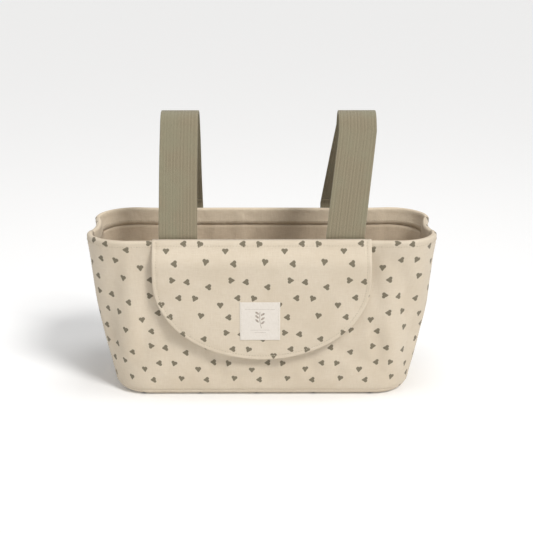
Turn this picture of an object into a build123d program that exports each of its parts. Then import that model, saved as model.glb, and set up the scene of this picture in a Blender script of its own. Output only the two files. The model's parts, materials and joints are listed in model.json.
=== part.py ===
"""A fabric diaper bag that hangs from a pram's handlebar by two webbing loops.

Millimetres. +X is the wearer's right when facing the flap from behind the pram, +Y points to the pram
and +Z is up. The origin is the middle of the base, on the surface that the bag stands on.
"""

import os
from math import acos, atan2, cos, degrees, hypot, radians, sin

from build123d import *

# Overall size: the rim is wider than the base, and every wall leans out a little.
RIM_HEIGHT = 175.0
TOP_WIDTH, TOP_DEPTH, TOP_CORNER = 370.0, 150.0, 46.0
BASE_WIDTH, BASE_DEPTH, BASE_CORNER = 316.0, 130.0, 38.0
BASE_EDGE_RADIUS = 12.0

# Wall make-up, from the outside in.
COVER_THICKNESS = 1.2
PADDING_THICKNESS = 3.2
LINING_THICKNESS = 0.8
BOARD_THICKNESS = 1.5

# Seams of the outer cover and lining, and of the foam behind them.
GUSSET_HALF_DEPTH = 27.0
BASE_SEAM_HEIGHT = 6.0
FOAM_PLATE_HALF_WIDTH = 118.0
BOARD_EDGE_GAP = 1.0
FACING_HEIGHT = 18.0
FACING_CAP = 1.2

# Webbing loops and the bar that they go round.
BAR_RADIUS = 17.0
WEBBING_WIDTH = 40.0
WEBBING_THICKNESS = 1.8
LOOP_SPACING = 174.0
LOOP_RISE = 123.0
LOOP_LEAN = {"left": 0.0, "right": 14.0}
ROOT_LENGTH = 34.0
ROOT_STAND = 4.0
TAIL_LENGTH = 64.0
FOLD_GAP = 1.0
TAPE_LENGTH = 46.0
TAPE_WIDTH = 34.0
TAPE_THICKNESS = 1.2
TAPE_DROP = 12.0

# The D-shaped flap, its magnetic snap and its label.
FLAP_WIDTH = 227.0
FLAP_LENGTH = 127.0
FLAP_STRAIGHT = 40.0
FLAP_COVER, FLAP_FOAM, FLAP_BACK = 1.0, 1.8, 0.8
FLAP_FOAM_MARGIN = 3.0
FLAP_BEND_HEIGHT = 24.0
FLAP_HINGE_RISE = 1.0
SNAP_DROP = 83.0
SNAP_RADIUS, SNAP_THICKNESS = 9.0, 1.5
SNAP_BOSS_RADIUS, SNAP_BOSS_HEIGHT, SNAP_HOLE_RADIUS = 3.0, 1.1, 3.6
SNAP_PLATE_RADIUS, SNAP_PLATE_THICKNESS = 8.0, 0.5
LABEL_SIZE, LABEL_THICKNESS, LABEL_SHIFT = 42.0, 0.6, -2.0

# Patch pocket under the flap.
POCKET_WIDTH = 196.0
POCKET_MOUTH_DROP, POCKET_BOTTOM_DROP = 26.0, 109.0
POCKET_STRAIGHT = 22.0
POCKET_DEPTH = 5.0
POCKET_CLOTH = 1.0

# Inside: a pocket of three cells on the back wall, and an elastic loop for a bottle at the left end.
INNER_WIDTH, INNER_CELLS = 234.0, 3
INNER_BOTTOM, INNER_TOP = 30.0, 120.0
INNER_DEPTH, INNER_CLOTH = 6.0, 1.0
ELASTIC_HEIGHT, ELASTIC_THICKNESS = 10.0, 1.4
BOTTLE_LOOP_RADIUS, BOTTLE_LOOP_HEIGHT = 36.0, 30.0
BOTTLE_LOOP_LEVEL = 88.0

CLEARANCE = 0.3
REACH = 600.0

WALL_LEAN = (TOP_DEPTH - BASE_DEPTH) / 2 / RIM_HEIGHT
WALL_THICKNESS = COVER_THICKNESS + PADDING_THICKNESS + LINING_THICKNESS
FOAM_INSET = COVER_THICKNESS + PADDING_THICKNESS
FLAP_THICKNESS = FLAP_COVER + FLAP_FOAM + FLAP_BACK
SIDES = {"left": -1, "right": 1}


# ---------------------------------------------------------------- the tapered shell


def at_height(base, top, z):
    """A size that grows evenly from the base to the rim."""
    return base + (top - base) * z / RIM_HEIGHT


def half_depth(z):
    """How far the outside of the front or back wall is from the bag's middle."""
    return at_height(BASE_DEPTH, TOP_DEPTH, z) / 2


def plan(z, inset):
    """The bag's rounded outline at a height, set in from the outside of the cover."""
    return Pos(0, 0, z) * RectangleRounded(
        at_height(BASE_WIDTH, TOP_WIDTH, z) - 2 * inset,
        at_height(BASE_DEPTH, TOP_DEPTH, z) - 2 * inset,
        at_height(BASE_CORNER, TOP_CORNER, z) - inset,
    )


def tub(inset, floor, top=RIM_HEIGHT):
    """A solid tub with a rounded bottom edge."""
    solid = loft([plan(floor, inset), plan(top, inset)], ruled=True)
    bottom_edges = solid.faces().sort_by(Axis.Z)[0].edges()
    return fillet(bottom_edges, BASE_EDGE_RADIUS - inset)


def wall_layer(outer_inset, inner_inset, outer_floor, inner_floor):
    """One layer of the wall and floor, open at the top."""
    return tub(outer_inset, outer_floor) - tub(inner_inset, inner_floor, RIM_HEIGHT + 20)


def space(x=(-REACH, REACH), y=(-REACH, REACH), z=(-REACH, REACH)):
    """A box between limits, to cut a layer along its seams."""
    size = [high - low for low, high in (x, y, z)]
    return Pos(*((low + high) / 2 for low, high in (x, y, z))) * Box(*size)


def sewn_panels(layer, names, seam=BASE_SEAM_HEIGHT, top=RIM_HEIGHT):
    """Cuts a cover or lining layer into base, front, back and two gussets."""
    above = (seam, top)
    g = GUSSET_HALF_DEPTH
    cuts = {
        "base": space(z=(-REACH, seam)),
        "front": space(y=(-REACH, -g), z=above),
        "back": space(y=(g, REACH), z=above),
        "left": space(x=(-REACH, 0), y=(-g, g), z=above),
        "right": space(x=(0, REACH), y=(-g, g), z=above),
    }
    return {names[key]: layer & cut for key, cut in cuts.items()}


def cover_panels():
    layer = wall_layer(0, COVER_THICKNESS, 0, COVER_THICKNESS)
    names = {"base": "base_panel", "front": "front_panel", "back": "back_panel"}
    return sewn_panels(layer, names | {s: f"{s}_gusset" for s in SIDES})


def padding_panels():
    """Foam: two plates behind the flat of the front and back, two ends that wrap the corners, a floor."""
    layer = wall_layer(COVER_THICKNESS, FOAM_INSET, COVER_THICKNESS, FOAM_INSET)
    w = FOAM_PLATE_HALF_WIDTH
    above = (BASE_SEAM_HEIGHT, RIM_HEIGHT)
    return {
        "front_padding": layer & space(x=(-w, w), y=(-REACH, 0), z=above),
        "back_padding": layer & space(x=(-w, w), y=(0, REACH), z=above),
        "left_padding": layer & space(x=(-REACH, -w), z=above),
        "right_padding": layer & space(x=(w, REACH), z=above),
        "base_padding": layer & space(z=(-REACH, BASE_SEAM_HEIGHT)),
    }


def lining_panels():
    """The lining stops under the facing that is turned in at the rim."""
    floor = FOAM_INSET + BOARD_THICKNESS
    layer = wall_layer(FOAM_INSET, WALL_THICKNESS, floor, floor + LINING_THICKNESS)
    names = {key: f"{key}_lining" for key in ("base", "front", "back", "left", "right")}
    return sewn_panels(layer, names, BASE_SEAM_HEIGHT + floor, RIM_HEIGHT - FACING_HEIGHT)


def base_board():
    """A stiff sheet on the flat of the foam floor."""
    inset = BASE_EDGE_RADIUS + BOARD_EDGE_GAP
    return extrude(plan(FOAM_INSET, inset), amount=BOARD_THICKNESS)


def rim_facing():
    """Cover cloth turned over the rim and down the inside."""
    low, top = RIM_HEIGHT - FACING_HEIGHT, RIM_HEIGHT + FACING_CAP
    cap = loft([plan(RIM_HEIGHT, 0), plan(top, 0)], ruled=True)
    band = loft([plan(low, FOAM_INSET), plan(RIM_HEIGHT, FOAM_INSET)], ruled=True)
    hole = loft([plan(low - 1, WALL_THICKNESS), plan(top + 1, WALL_THICKNESS)], ruled=True)
    return cap + band - hole


# ---------------------------------------------------------------- webbing loops


def side_profile(*edges):
    """A closed outline drawn as (y, z), as a face in the plane x = 0."""
    return Plane.YZ * make_face([edge for line in edges for edge in line.edges()])


def slab(face, x, width):
    """A side profile made solid, width wide about x."""
    return Pos(x - width / 2, 0, 0) * extrude(face, amount=width, dir=(1, 0, 0))


BAR_Z = RIM_HEIGHT + LOOP_RISE - WEBBING_THICKNESS - BAR_RADIUS
ROOT_FACE = -half_depth(RIM_HEIGHT) + WALL_THICKNESS + CLEARANCE
TAIL_STACK = 2 * TAPE_THICKNESS + CLEARANCE
FRONT_FOLD = (ROOT_FACE + WEBBING_THICKNESS / 2, RIM_HEIGHT + ROOT_STAND)
REAR_FOLD = (
    half_depth(RIM_HEIGHT) + TAIL_STACK + WEBBING_THICKNESS / 2,
    RIM_HEIGHT + FACING_CAP + FOLD_GAP,
)
BAR_Y = (FRONT_FOLD[0] + REAR_FOLD[0]) / 2


def leg_angle(fold):
    """The lean from upright of the webbing's middle line between a fold and the bar."""
    across, up = abs(BAR_Y - fold[0]), BAR_Z - fold[1]
    reach = hypot(across, up)
    middle_radius = BAR_RADIUS + WEBBING_THICKNESS / 2
    return atan2(across, up) - (radians(90) - acos(middle_radius / reach))


def webbing_loop(x, lean_out):
    """Front leg, round the bar, and rear leg, as one strip. Round the bar it lies outward by lean_out."""
    front, rear = leg_angle(FRONT_FOLD), leg_angle(REAR_FOLD)
    middle_radius = BAR_RADIUS + WEBBING_THICKNESS / 2

    def leg(fold, lean, way):
        """A straight strip from just past its fold up to where it meets the bar."""
        up = Vector(0, -way * sin(lean), cos(lean))
        start = Vector(x, fold[0], fold[1]) + up * FOLD_GAP
        end_y, end_z = BAR_Y + way * middle_radius * cos(lean), BAR_Z + middle_radius * sin(lean)
        ends = [start, Vector(x + lean_out, end_y, end_z)]
        strip = [Plane(end, x_dir=(1, 0, 0), z_dir=up) for end in ends]
        section = Rectangle(WEBBING_WIDTH, WEBBING_THICKNESS)
        return loft([plane * section for plane in strip], ruled=True)

    def arc(radius):
        turn = 180 - degrees(front) - degrees(rear)
        return CenterArc((BAR_Y, BAR_Z), radius, degrees(rear), turn)

    inner, outer = arc(BAR_RADIUS), arc(BAR_RADIUS + WEBBING_THICKNESS)
    face = side_profile(inner, Line(inner @ 1, outer @ 1), outer, Line(outer @ 0, inner @ 0))
    over_bar = slab(face, x + lean_out, WEBBING_WIDTH)
    return over_bar + leg(FRONT_FOLD, front, -1) + leg(REAR_FOLD, rear, 1)


def strap_root(x):
    """The end of the webbing that is sewn to the inside of the front wall."""
    low, high = RIM_HEIGHT - ROOT_LENGTH, FRONT_FOLD[1] - FOLD_GAP
    shift = WALL_LEAN * ROOT_LENGTH

    def strip(y):
        return [(y + shift, low), (y, RIM_HEIGHT), (y, high)]

    wall_side, inside = strip(ROOT_FACE), strip(ROOT_FACE + WEBBING_THICKNESS)
    outline = [*wall_side, *reversed(inside)]
    return slab(side_profile(Polyline(*outline, close=True)), x, WEBBING_WIDTH)


def back_wall_plate(x, drop, length, width, start, thickness):
    """A plate along the slope of the back wall, from drop below the rim, standing off by start."""
    wall = Plane(
        origin=(0, half_depth(RIM_HEIGHT), RIM_HEIGHT),
        x_dir=(-1, 0, 0),
        z_dir=(0, 1, -WALL_LEAN),
    )
    sheet = wall * Pos(-x, -drop - length / 2, start) * Rectangle(width, length)
    return extrude(sheet, amount=thickness)


def webbing_pieces():
    pieces = {}
    for side, sign in SIDES.items():
        x = sign * LOOP_SPACING / 2
        pieces[f"{side}_strap_root"] = strap_root(x)
        pieces[f"{side}_strap_loop"] = webbing_loop(x, LOOP_LEAN[side])
        pieces[f"{side}_strap_tail"] = back_wall_plate(
            x, 0, TAIL_LENGTH, WEBBING_WIDTH, TAIL_STACK, WEBBING_THICKNESS
        )
        pieces[f"{side}_loop_tape"] = back_wall_plate(
            x, TAPE_DROP, TAPE_LENGTH, TAPE_WIDTH, 0, TAPE_THICKNESS
        )
        pieces[f"{side}_hook_tape"] = back_wall_plate(
            x, TAPE_DROP, TAPE_LENGTH, TAPE_WIDTH, TAPE_THICKNESS + CLEARANCE, TAPE_THICKNESS
        )
    return pieces


# ---------------------------------------------------------------- front pocket and flap

RIM_Y = -half_depth(RIM_HEIGHT)
POCKET_INSIDE_Y = -half_depth(RIM_HEIGHT - POCKET_MOUTH_DROP) - POCKET_DEPTH
POCKET_FACE_Y = POCKET_INSIDE_Y - POCKET_CLOTH
SNAP_Z = RIM_HEIGHT - SNAP_DROP
FLAP_BACK_Y = POCKET_FACE_Y - 2 * SNAP_THICKNESS - CLEARANCE
FLAP_ROOT_Y = RIM_Y - CLEARANCE
FLAP_HINGE = (FLAP_ROOT_Y - CLEARANCE, RIM_HEIGHT + FLAP_HINGE_RISE)


def d_shape(width, straight, length):
    """A tongue in the XZ plane: straight sides, then half an ellipse. Its top edge is at z = 0."""
    bottom = Pos(0, -straight) * Ellipse(width / 2, length - straight)
    sides = Pos(0, -straight / 2) * Rectangle(width, straight)
    tongue = sides + (bottom & Pos(0, -straight - length) * Rectangle(2 * width, 2 * length))
    return Plane.XZ * tongue


def d_prism(width, straight, length, top, y_front, y_back):
    """The tongue made solid between two depths, hung from a height."""
    face = Pos(0, y_back, top) * d_shape(width, straight, length)
    return extrude(face, amount=y_back - y_front, dir=(0, -1, 0))


def pocket_panel():
    """A patch pocket that hangs straight down while the wall behind it leans in, open at its mouth."""
    top, width = RIM_HEIGHT - POCKET_MOUTH_DROP, POCKET_WIDTH
    length = POCKET_BOTTOM_DROP - POCKET_MOUTH_DROP
    cloth = POCKET_CLOTH
    outside = d_prism(width, POCKET_STRAIGHT, length, top, POCKET_FACE_Y, 0)
    inside = d_prism(
        width - 2 * cloth, POCKET_STRAIGHT + 1, length - cloth + 1, top + 1, POCKET_INSIDE_Y, 0
    )
    return outside - inside - tub(0, 0, RIM_HEIGHT + 20)


def flap_layer(start, thickness, margin=0.0):
    """A layer of the flap: hung from the rim, bent out over the pocket's mouth, then straight down."""
    throw = abs(FLAP_BACK_Y - FLAP_ROOT_Y)
    drop = FLAP_BEND_HEIGHT
    bend = 2 * atan2(throw, drop)
    radius = drop / sin(bend) / 2
    top, mid = RIM_HEIGHT, RIM_HEIGHT - drop / 2
    low = RIM_HEIGHT - FLAP_LENGTH - 1
    mid_y = FLAP_ROOT_Y - throw / 2
    turn = degrees(bend)

    def boundary(offset):
        """The middle point and both ends of the S, offset away from the wall."""
        upper = (FLAP_ROOT_Y - offset, top)
        middle = (mid_y - offset * cos(bend), mid + offset * sin(bend))
        lower = (FLAP_BACK_Y - offset, RIM_HEIGHT - drop)
        return upper, middle, lower

    def s_curve(offset):
        upper, middle, lower = boundary(offset)
        first = RadiusArc(upper, middle, radius - offset)
        second = RadiusArc(middle, lower, -(radius + offset))
        return first, second, upper, lower

    near_first, near_second, near_top, near_low = s_curve(start)
    far_first, far_second, far_top, far_low = s_curve(start + thickness)
    face = side_profile(
        near_first,
        near_second,
        Line(near_low, (near_low[0], low)),
        Line((near_low[0], low), (far_low[0], low)),
        Line((far_low[0], low), far_low),
        far_second,
        far_first,
        Line(far_top, near_top),
    )
    ribbon = slab(face, 0, FLAP_WIDTH)
    tongue = d_prism(
        FLAP_WIDTH - 2 * margin,
        FLAP_STRAIGHT,
        FLAP_LENGTH - margin,
        RIM_HEIGHT,
        2 * FLAP_BACK_Y,
        0,
    )
    return ribbon & tongue


def disc(radius, y_front, thickness):
    """A round plate that faces the front, at the snap's place."""
    face = Plane(origin=(0, y_front, SNAP_Z), z_dir=(0, 1, 0)) * Circle(radius)
    return extrude(face, amount=thickness)


def snap_pieces():
    """Each half is a disc with a plate behind its cloth; a boss on the stud sits in the socket's hole."""
    socket_y = POCKET_FACE_Y - SNAP_THICKNESS
    stud_y = FLAP_BACK_Y
    socket = disc(SNAP_RADIUS, socket_y, SNAP_THICKNESS)
    socket -= disc(SNAP_HOLE_RADIUS, socket_y, SNAP_THICKNESS)
    stud = disc(SNAP_RADIUS, stud_y, SNAP_THICKNESS)
    stud += disc(SNAP_BOSS_RADIUS, stud_y + SNAP_THICKNESS, SNAP_BOSS_HEIGHT)
    plate = SNAP_PLATE_THICKNESS
    return {
        "snap_socket": socket,
        "snap_socket_plate": disc(SNAP_PLATE_RADIUS, POCKET_INSIDE_Y, plate),
        "snap_stud": stud,
        "snap_stud_plate": disc(SNAP_PLATE_RADIUS, FLAP_BACK_Y - FLAP_BACK - plate, plate),
    }


def woven_label():
    face_y = FLAP_BACK_Y - FLAP_THICKNESS
    size = LABEL_SIZE
    return Pos(LABEL_SHIFT, face_y - LABEL_THICKNESS / 2, SNAP_Z) * Box(size, LABEL_THICKNESS, size)


def flap_pieces():
    foam = flap_layer(FLAP_BACK, FLAP_FOAM, FLAP_FOAM_MARGIN)
    snap = snap_pieces()
    return {
        "flap_lining": flap_layer(0, FLAP_BACK),
        "flap_padding": foam - snap["snap_stud_plate"],
        "flap_cover": flap_layer(FLAP_BACK + FLAP_FOAM, FLAP_COVER),
        "woven_label": woven_label(),
        **snap,
    }


# ---------------------------------------------------------------- inside fittings


def inner_pocket():
    """A flat-fronted pocket on the back lining, split into cells, open at the top."""
    face_y = half_depth(INNER_BOTTOM) - WALL_THICKNESS - INNER_DEPTH - INNER_CLOTH
    low, high, half = INNER_BOTTOM, INNER_TOP, INNER_WIDTH / 2
    cell = (INNER_WIDTH - INNER_CLOTH * (INNER_CELLS + 1)) / INNER_CELLS
    pocket = space(x=(-half, half), y=(face_y, TOP_DEPTH / 2), z=(low, high))
    for n in range(INNER_CELLS):
        left = -half + INNER_CLOTH + n * (cell + INNER_CLOTH)
        hollow = space(
            x=(left, left + cell),
            y=(face_y + INNER_CLOTH, TOP_DEPTH),
            z=(low + INNER_CLOTH, high + 1),
        )
        pocket -= hollow
    return pocket & tub(WALL_THICKNESS, INNER_BOTTOM / 2)


def inner_pocket_elastic():
    """Elastic sewn along the pocket's top edge, on the side that faces the bag's middle."""
    face_y = half_depth(INNER_BOTTOM) - WALL_THICKNESS - INNER_DEPTH - INNER_CLOTH
    return space(
        x=(-INNER_WIDTH / 2, INNER_WIDTH / 2),
        y=(face_y - ELASTIC_THICKNESS, face_y),
        z=(INNER_TOP - ELASTIC_HEIGHT, INNER_TOP),
    )


def bottle_loop():
    """An elastic band that stands out from the left end wall in a half circle."""
    low, high = BOTTLE_LOOP_LEVEL, BOTTLE_LOOP_LEVEL + BOTTLE_LOOP_HEIGHT
    wall_x = at_height(BASE_WIDTH, TOP_WIDTH, low) / 2 - WALL_THICKNESS
    centre = BOTTLE_LOOP_RADIUS / 2 - wall_x
    ring = Circle(BOTTLE_LOOP_RADIUS) - Circle(BOTTLE_LOOP_RADIUS - ELASTIC_THICKNESS)
    band = extrude(Pos(centre, 0, low) * ring, amount=high - low)
    return band & tub(WALL_THICKNESS, low / 2)


# ---------------------------------------------------------------- writing the parts


def all_pieces():
    pieces = cover_panels() | padding_panels() | lining_panels()
    pieces["base_board"] = base_board()
    pieces["rim_facing"] = rim_facing()
    pieces["pocket_panel"] = pocket_panel()
    pieces |= flap_pieces()
    pieces |= webbing_pieces()
    pieces["inner_pocket"] = inner_pocket()
    pieces["inner_pocket_elastic"] = inner_pocket_elastic()
    pieces["bottle_loop"] = bottle_loop()
    return pieces


os.makedirs("parts", exist_ok=True)
for name, piece in all_pieces().items():
    export_step(piece, f"parts/{name}.step")
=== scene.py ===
"""The looks of a canvas diaper bag that hangs from a pram's handlebar by two webbing loops."""

import json
import math

import bmesh
import bpy
import numpy as np
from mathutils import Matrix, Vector


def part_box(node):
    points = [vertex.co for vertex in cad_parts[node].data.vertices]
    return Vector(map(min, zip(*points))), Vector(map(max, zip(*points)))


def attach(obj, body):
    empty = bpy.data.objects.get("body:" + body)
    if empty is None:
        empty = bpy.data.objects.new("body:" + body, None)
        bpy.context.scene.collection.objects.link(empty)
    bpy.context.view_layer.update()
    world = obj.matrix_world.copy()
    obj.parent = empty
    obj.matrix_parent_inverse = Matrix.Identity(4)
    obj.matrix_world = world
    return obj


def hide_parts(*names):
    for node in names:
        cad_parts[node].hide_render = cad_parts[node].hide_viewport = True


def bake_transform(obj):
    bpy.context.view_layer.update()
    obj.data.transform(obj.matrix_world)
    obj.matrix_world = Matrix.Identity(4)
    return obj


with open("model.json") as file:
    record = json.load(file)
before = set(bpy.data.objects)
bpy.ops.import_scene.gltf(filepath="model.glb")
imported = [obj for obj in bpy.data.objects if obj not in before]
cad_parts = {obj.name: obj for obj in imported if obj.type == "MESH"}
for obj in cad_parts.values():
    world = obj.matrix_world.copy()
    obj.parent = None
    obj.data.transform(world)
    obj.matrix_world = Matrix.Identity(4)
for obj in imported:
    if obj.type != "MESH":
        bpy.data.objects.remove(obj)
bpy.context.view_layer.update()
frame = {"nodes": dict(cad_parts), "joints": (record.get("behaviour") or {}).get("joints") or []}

MM = 0.001


# ---- Printed canvas -----------------------------------------------------------------------------
# Natural cotton canvas in a plain weave, printed all over with small three-lobed leaves in a grey
# olive. It covers the bag, the pocket and the flap. One metre of its UV map is one metre of cloth.


class Dye:
    """A value that changes over a cloth: a socket of its material, so that sums read as Python."""

    def __init__(self, tree, socket):
        self.tree, self.socket = tree, socket

    def node(self, kind, settings=(), inputs=(), out=0):
        """Adds a node: its settings, then the values or links of its sockets, and gives an output."""
        made = self.tree.nodes.new(kind)
        for key, value in dict(settings).items():
            if key == "stops":
                ramp = made.color_ramp.elements
                while len(ramp) < len(value):
                    ramp.new(0.5)
                for element, (place, colour) in zip(ramp, value):
                    element.position, element.color = place, colour
            else:
                setattr(made, key, value)
        for key, value in dict(inputs).items():
            if isinstance(value, Dye):
                self.tree.links.new(value.socket, made.inputs[key])
            else:
                made.inputs[key].default_value = value
        return Dye(self.tree, made.outputs[out])

    def math(self, operation, *terms):
        return self.node("ShaderNodeMath", {"operation": operation}, enumerate(terms))

    def vector(self, operation, *terms, out=0):
        return self.node("ShaderNodeVectorMath", {"operation": operation}, enumerate(terms), out)

    def __add__(self, other):
        return self.math("ADD", self, other)

    def __radd__(self, other):
        return self.math("ADD", other, self)

    def __sub__(self, other):
        return self.math("SUBTRACT", self, other)

    def __rsub__(self, other):
        return self.math("SUBTRACT", other, self)

    def __mul__(self, other):
        return self.math("MULTIPLY", self, other)

    def __rmul__(self, other):
        return self.math("MULTIPLY", other, self)

    def __truediv__(self, other):
        return self.math("DIVIDE", self, other)

    def fade(self, low, high, at_low=0.0, at_high=1.0):
        """Goes softly from one value to another as this one goes from low to high."""
        limits = {"From Min": low, "From Max": high, "To Min": at_low, "To Max": at_high}
        return self.node(
            "ShaderNodeMapRange", {"interpolation_type": "SMOOTHSTEP"}, {"Value": self, **limits}
        )

    def blend(self, first, second):
        """Mixes two colours by this share."""
        return self.node("ShaderNodeMix", {"data_type": "RGBA"}, {0: self, 6: first, 7: second}, out=2)

    def part(self, axis):
        """One of a vector's three numbers."""
        return self.node("ShaderNodeSeparateXYZ", (), {0: self}, "XYZ".index(axis))


def linear(red, green, blue):
    """A colour as a colour card gives it, 0 to 255, for a shader."""
    steps = [c / 255 for c in (red, green, blue)]
    return (*(s / 12.92 if s <= 0.04045 else ((s + 0.055) / 1.055) ** 2.4 for s in steps), 1.0)


def finish_named(name, roughness, sheen=0.0, metallic=0.0):
    """A new finish with its shader, and its cloth coordinates as a Dye to start from."""
    finish = bpy.data.materials.new(name)
    finish.use_nodes = True
    tree = finish.node_tree
    shader = tree.nodes["Principled BSDF"]
    shader.inputs["Roughness"].default_value = roughness
    shader.inputs["Metallic"].default_value = metallic
    shader.inputs["Sheen Weight"].default_value = sheen
    shader.inputs["Sheen Roughness"].default_value = 0.5
    shader.inputs["Specular IOR Level"].default_value = 0.25 if not metallic else 0.5
    return finish, shader, Dye(tree, None)


def on_cloth(dye):
    """Millimetres along and across the cloth."""
    uv = dye.node("ShaderNodeUVMap", {"uv_map": "cloth"})
    return uv.node("ShaderNodeVectorMath", {"operation": "SCALE"}, {0: uv, "Scale": 1000.0})


def noise(place, scale, detail=2.0, roughness=0.5, stretch=None):
    """Noise on the cloth, with scale in features per millimetre."""
    if stretch:
        place = place.vector("MULTIPLY", place, stretch)
    return place.node(
        "ShaderNodeTexNoise",
        {"noise_dimensions": "2D"},
        {"Vector": place, "Scale": scale, "Detail": detail, "Roughness": roughness},
    )


def raise_surface(shader, height, distance, strength=1.0, under=None):
    """Turns a height into a bump, on top of another one where there is one."""
    inputs = {"Height": height, "Distance": distance, "Strength": strength}
    if under:
        inputs["Normal"] = under
    bump = height.node("ShaderNodeBump", (), inputs)
    height.tree.links.new(bump.socket, shader.inputs["Normal"])
    return bump


def plain_weave(place, pitch):
    """The height of a plain weave: warp and weft yarns that go over and under each other."""
    turn = 2 * math.pi / pitch
    return place.math("SINE", place.part("X") * turn) * place.math("SINE", place.part("Y") * turn)


# The print repeats every 61 mm across and 57.3 mm up, with each row a little to the side.
REPEAT_ACROSS, REPEAT_UP, REPEAT_SIDESTEP = 61.0, 57.3, 5.6
LEAVES = (
    (0.0, 0.0, 270),
    (40.8, -11.4, 258),
    (8.5, -13.2, 182),
    (6.1, -30.4, 2),
    (21.2, -32.3, 186),
    (43.4, -37.6, 176),
    (12.4, -49.5, 180),
    (29.1, -50.0, 246),
)
# A leaf's rounded lobes, as (degrees from where it points, mm from its middle, radius in mm).
LOBES = ((0, 2.9, 0.7), (0, 1.9, 1.3), (0, 0.6, 2.0), (125, 1.85, 1.85), (235, 1.85, 1.85))
INK_EDGE = 0.2
CANVAS = linear(211, 197, 176)
CANVAS_PALE = linear(218, 206, 187)
INK = linear(98, 91, 72)
WEAVE_PITCH = 1.0


def leaf_print(place):
    """How far a place is outside the ink: eight leaves of rounded lobes, over and over."""
    row = place.part("Y") / REPEAT_UP
    column = (place.part("X") - row * REPEAT_SIDESTEP) / REPEAT_ACROSS
    cell = place.node("ShaderNodeCombineXYZ", (), {0: column, 1: row})
    nearest = None
    for across, up, points_to in LEAVES:
        leaf_row = up / REPEAT_UP
        leaf_column = (across - leaf_row * REPEAT_SIDESTEP) / REPEAT_ACROSS
        local = place.vector("ADD", cell, (0.5 - leaf_column, 0.5 - leaf_row, 0.0))
        local = place.vector("FRACTION", local)
        x = place.vector("DOT_PRODUCT", local, (REPEAT_ACROSS, REPEAT_SIDESTEP, 0.0), out=1)
        y = place.vector("DOT_PRODUCT", local, (0.0, REPEAT_UP, 0.0), out=1)
        spot = place.node("ShaderNodeCombineXYZ", (), {0: x, 1: y})
        middle = ((REPEAT_ACROSS + REPEAT_SIDESTEP) / 2, REPEAT_UP / 2)
        for turn, out, radius in LOBES:
            angle = math.radians(points_to + turn)
            lobe = (middle[0] + out * math.cos(angle), middle[1] + out * math.sin(angle), 0.0)
            away = place.vector("DISTANCE", spot, lobe, out=1) - radius
            nearest = away if nearest is None else place.math("MINIMUM", nearest, away)
    return nearest


def printed_canvas():
    finish, shader, dye = finish_named("printed_canvas", 0.9, sheen=0.12)
    place = on_cloth(dye)
    weave = plain_weave(place, WEAVE_PITCH)
    slubs = noise(place, 0.9, 3.0, 0.6, (1.0, 0.12, 1.0)) + noise(place, 0.9, 3.0, 0.6, (0.12, 1.0, 1.0))
    ragged = (noise(place, 2.2, 2.0) - 0.5) * 0.35
    ink = (leaf_print(place) + ragged).fade(-INK_EDGE, INK_EDGE, 1.0, 0.0)
    ink = ink * (0.9 + weave * 0.06) * noise(place, 1.6).fade(0.25, 0.6, 0.86, 1.0)
    tone = (slubs * 0.5).fade(0.3, 0.7) * 0.8 + weave * 0.1
    ground = tone.blend(CANVAS, CANVAS_PALE)
    worn = noise(place, 0.02, 3.0).fade(0.35, 0.7, 0.0, 0.35)
    ground = worn.blend(ground, linear(200, 185, 162))
    shader_colour = ink.blend(ground, INK)
    finish.node_tree.links.new(shader_colour.socket, shader.inputs["Base Color"])
    rough = 0.88 + weave * 0.04 - ink * 0.06
    finish.node_tree.links.new(rough.socket, shader.inputs["Roughness"])
    crumple = raise_surface(shader, noise(place, 0.045, 4.0, 0.55), 0.0012, 0.8)
    raise_surface(shader, weave * 0.6 + slubs * 0.8, 0.00018, 0.8, under=crumple)
    return finish


canvas = printed_canvas()


# ---- Bag walls ----------------------------------------------------------------------------------
# The front and back panels wrap round the big corners and meet the two end gussets, and all four are
# sewn to the base panel just above the bottom edge. The canvas is a little slack over its foam.

RIM, BASE_SEAM = 175 * MM, 6 * MM
TOP_SIZE, TOP_CORNER = (370 * MM, 150 * MM), 46 * MM
BASE_SIZE, BASE_CORNER = (316 * MM, 130 * MM), 38 * MM
BOTTOM_EDGE = 12 * MM
WALL = 5.2 * MM
CANVAS_THICK = 1.0 * MM
ROLL = WALL / 2


def spread(length, step, close=()):
    """Places along a seam-to-seam run, evenly a step apart, with extra ones close to each end."""
    count = max(2, round(length / step))
    even = np.linspace(0, 1, count + 1)
    near = np.array(close) / length
    inner = even[(even > near.max() * 1.2) & (even < 1 - near.max() * 1.2)] if len(near) else even[1:-1]
    return np.concatenate(([0.0], near, inner, 1 - near[::-1], [1.0]))


FRONT_PLACES, BACK_PLACES, CORNER_PLACES = 65, 33, 17


def round_the_bag():
    """Where each column of the walls stands: which straight or corner, and how far along it."""
    columns = []
    near_seam = (0.9 * MM, 2.2 * MM, 4 * MM)
    runs = (
        ("back_left", np.linspace(0, 1, BACK_PLACES)),
        ("corner_back_left", np.linspace(0, 1, CORNER_PLACES)),
        ("left", spread(56 * MM, 4 * MM, near_seam)),
        ("corner_front_left", np.linspace(0, 1, CORNER_PLACES)),
        ("front", np.linspace(0, 1, FRONT_PLACES)),
        ("corner_front_right", np.linspace(0, 1, CORNER_PLACES)),
        ("right", spread(56 * MM, 4 * MM, near_seam)),
        ("corner_back_right", np.linspace(0, 1, CORNER_PLACES)),
        ("back_right", np.linspace(0, 1, BACK_PLACES)),
    )
    for run, places in runs:
        columns += [(run, place) for place in places[:-1]]
    return columns


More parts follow.
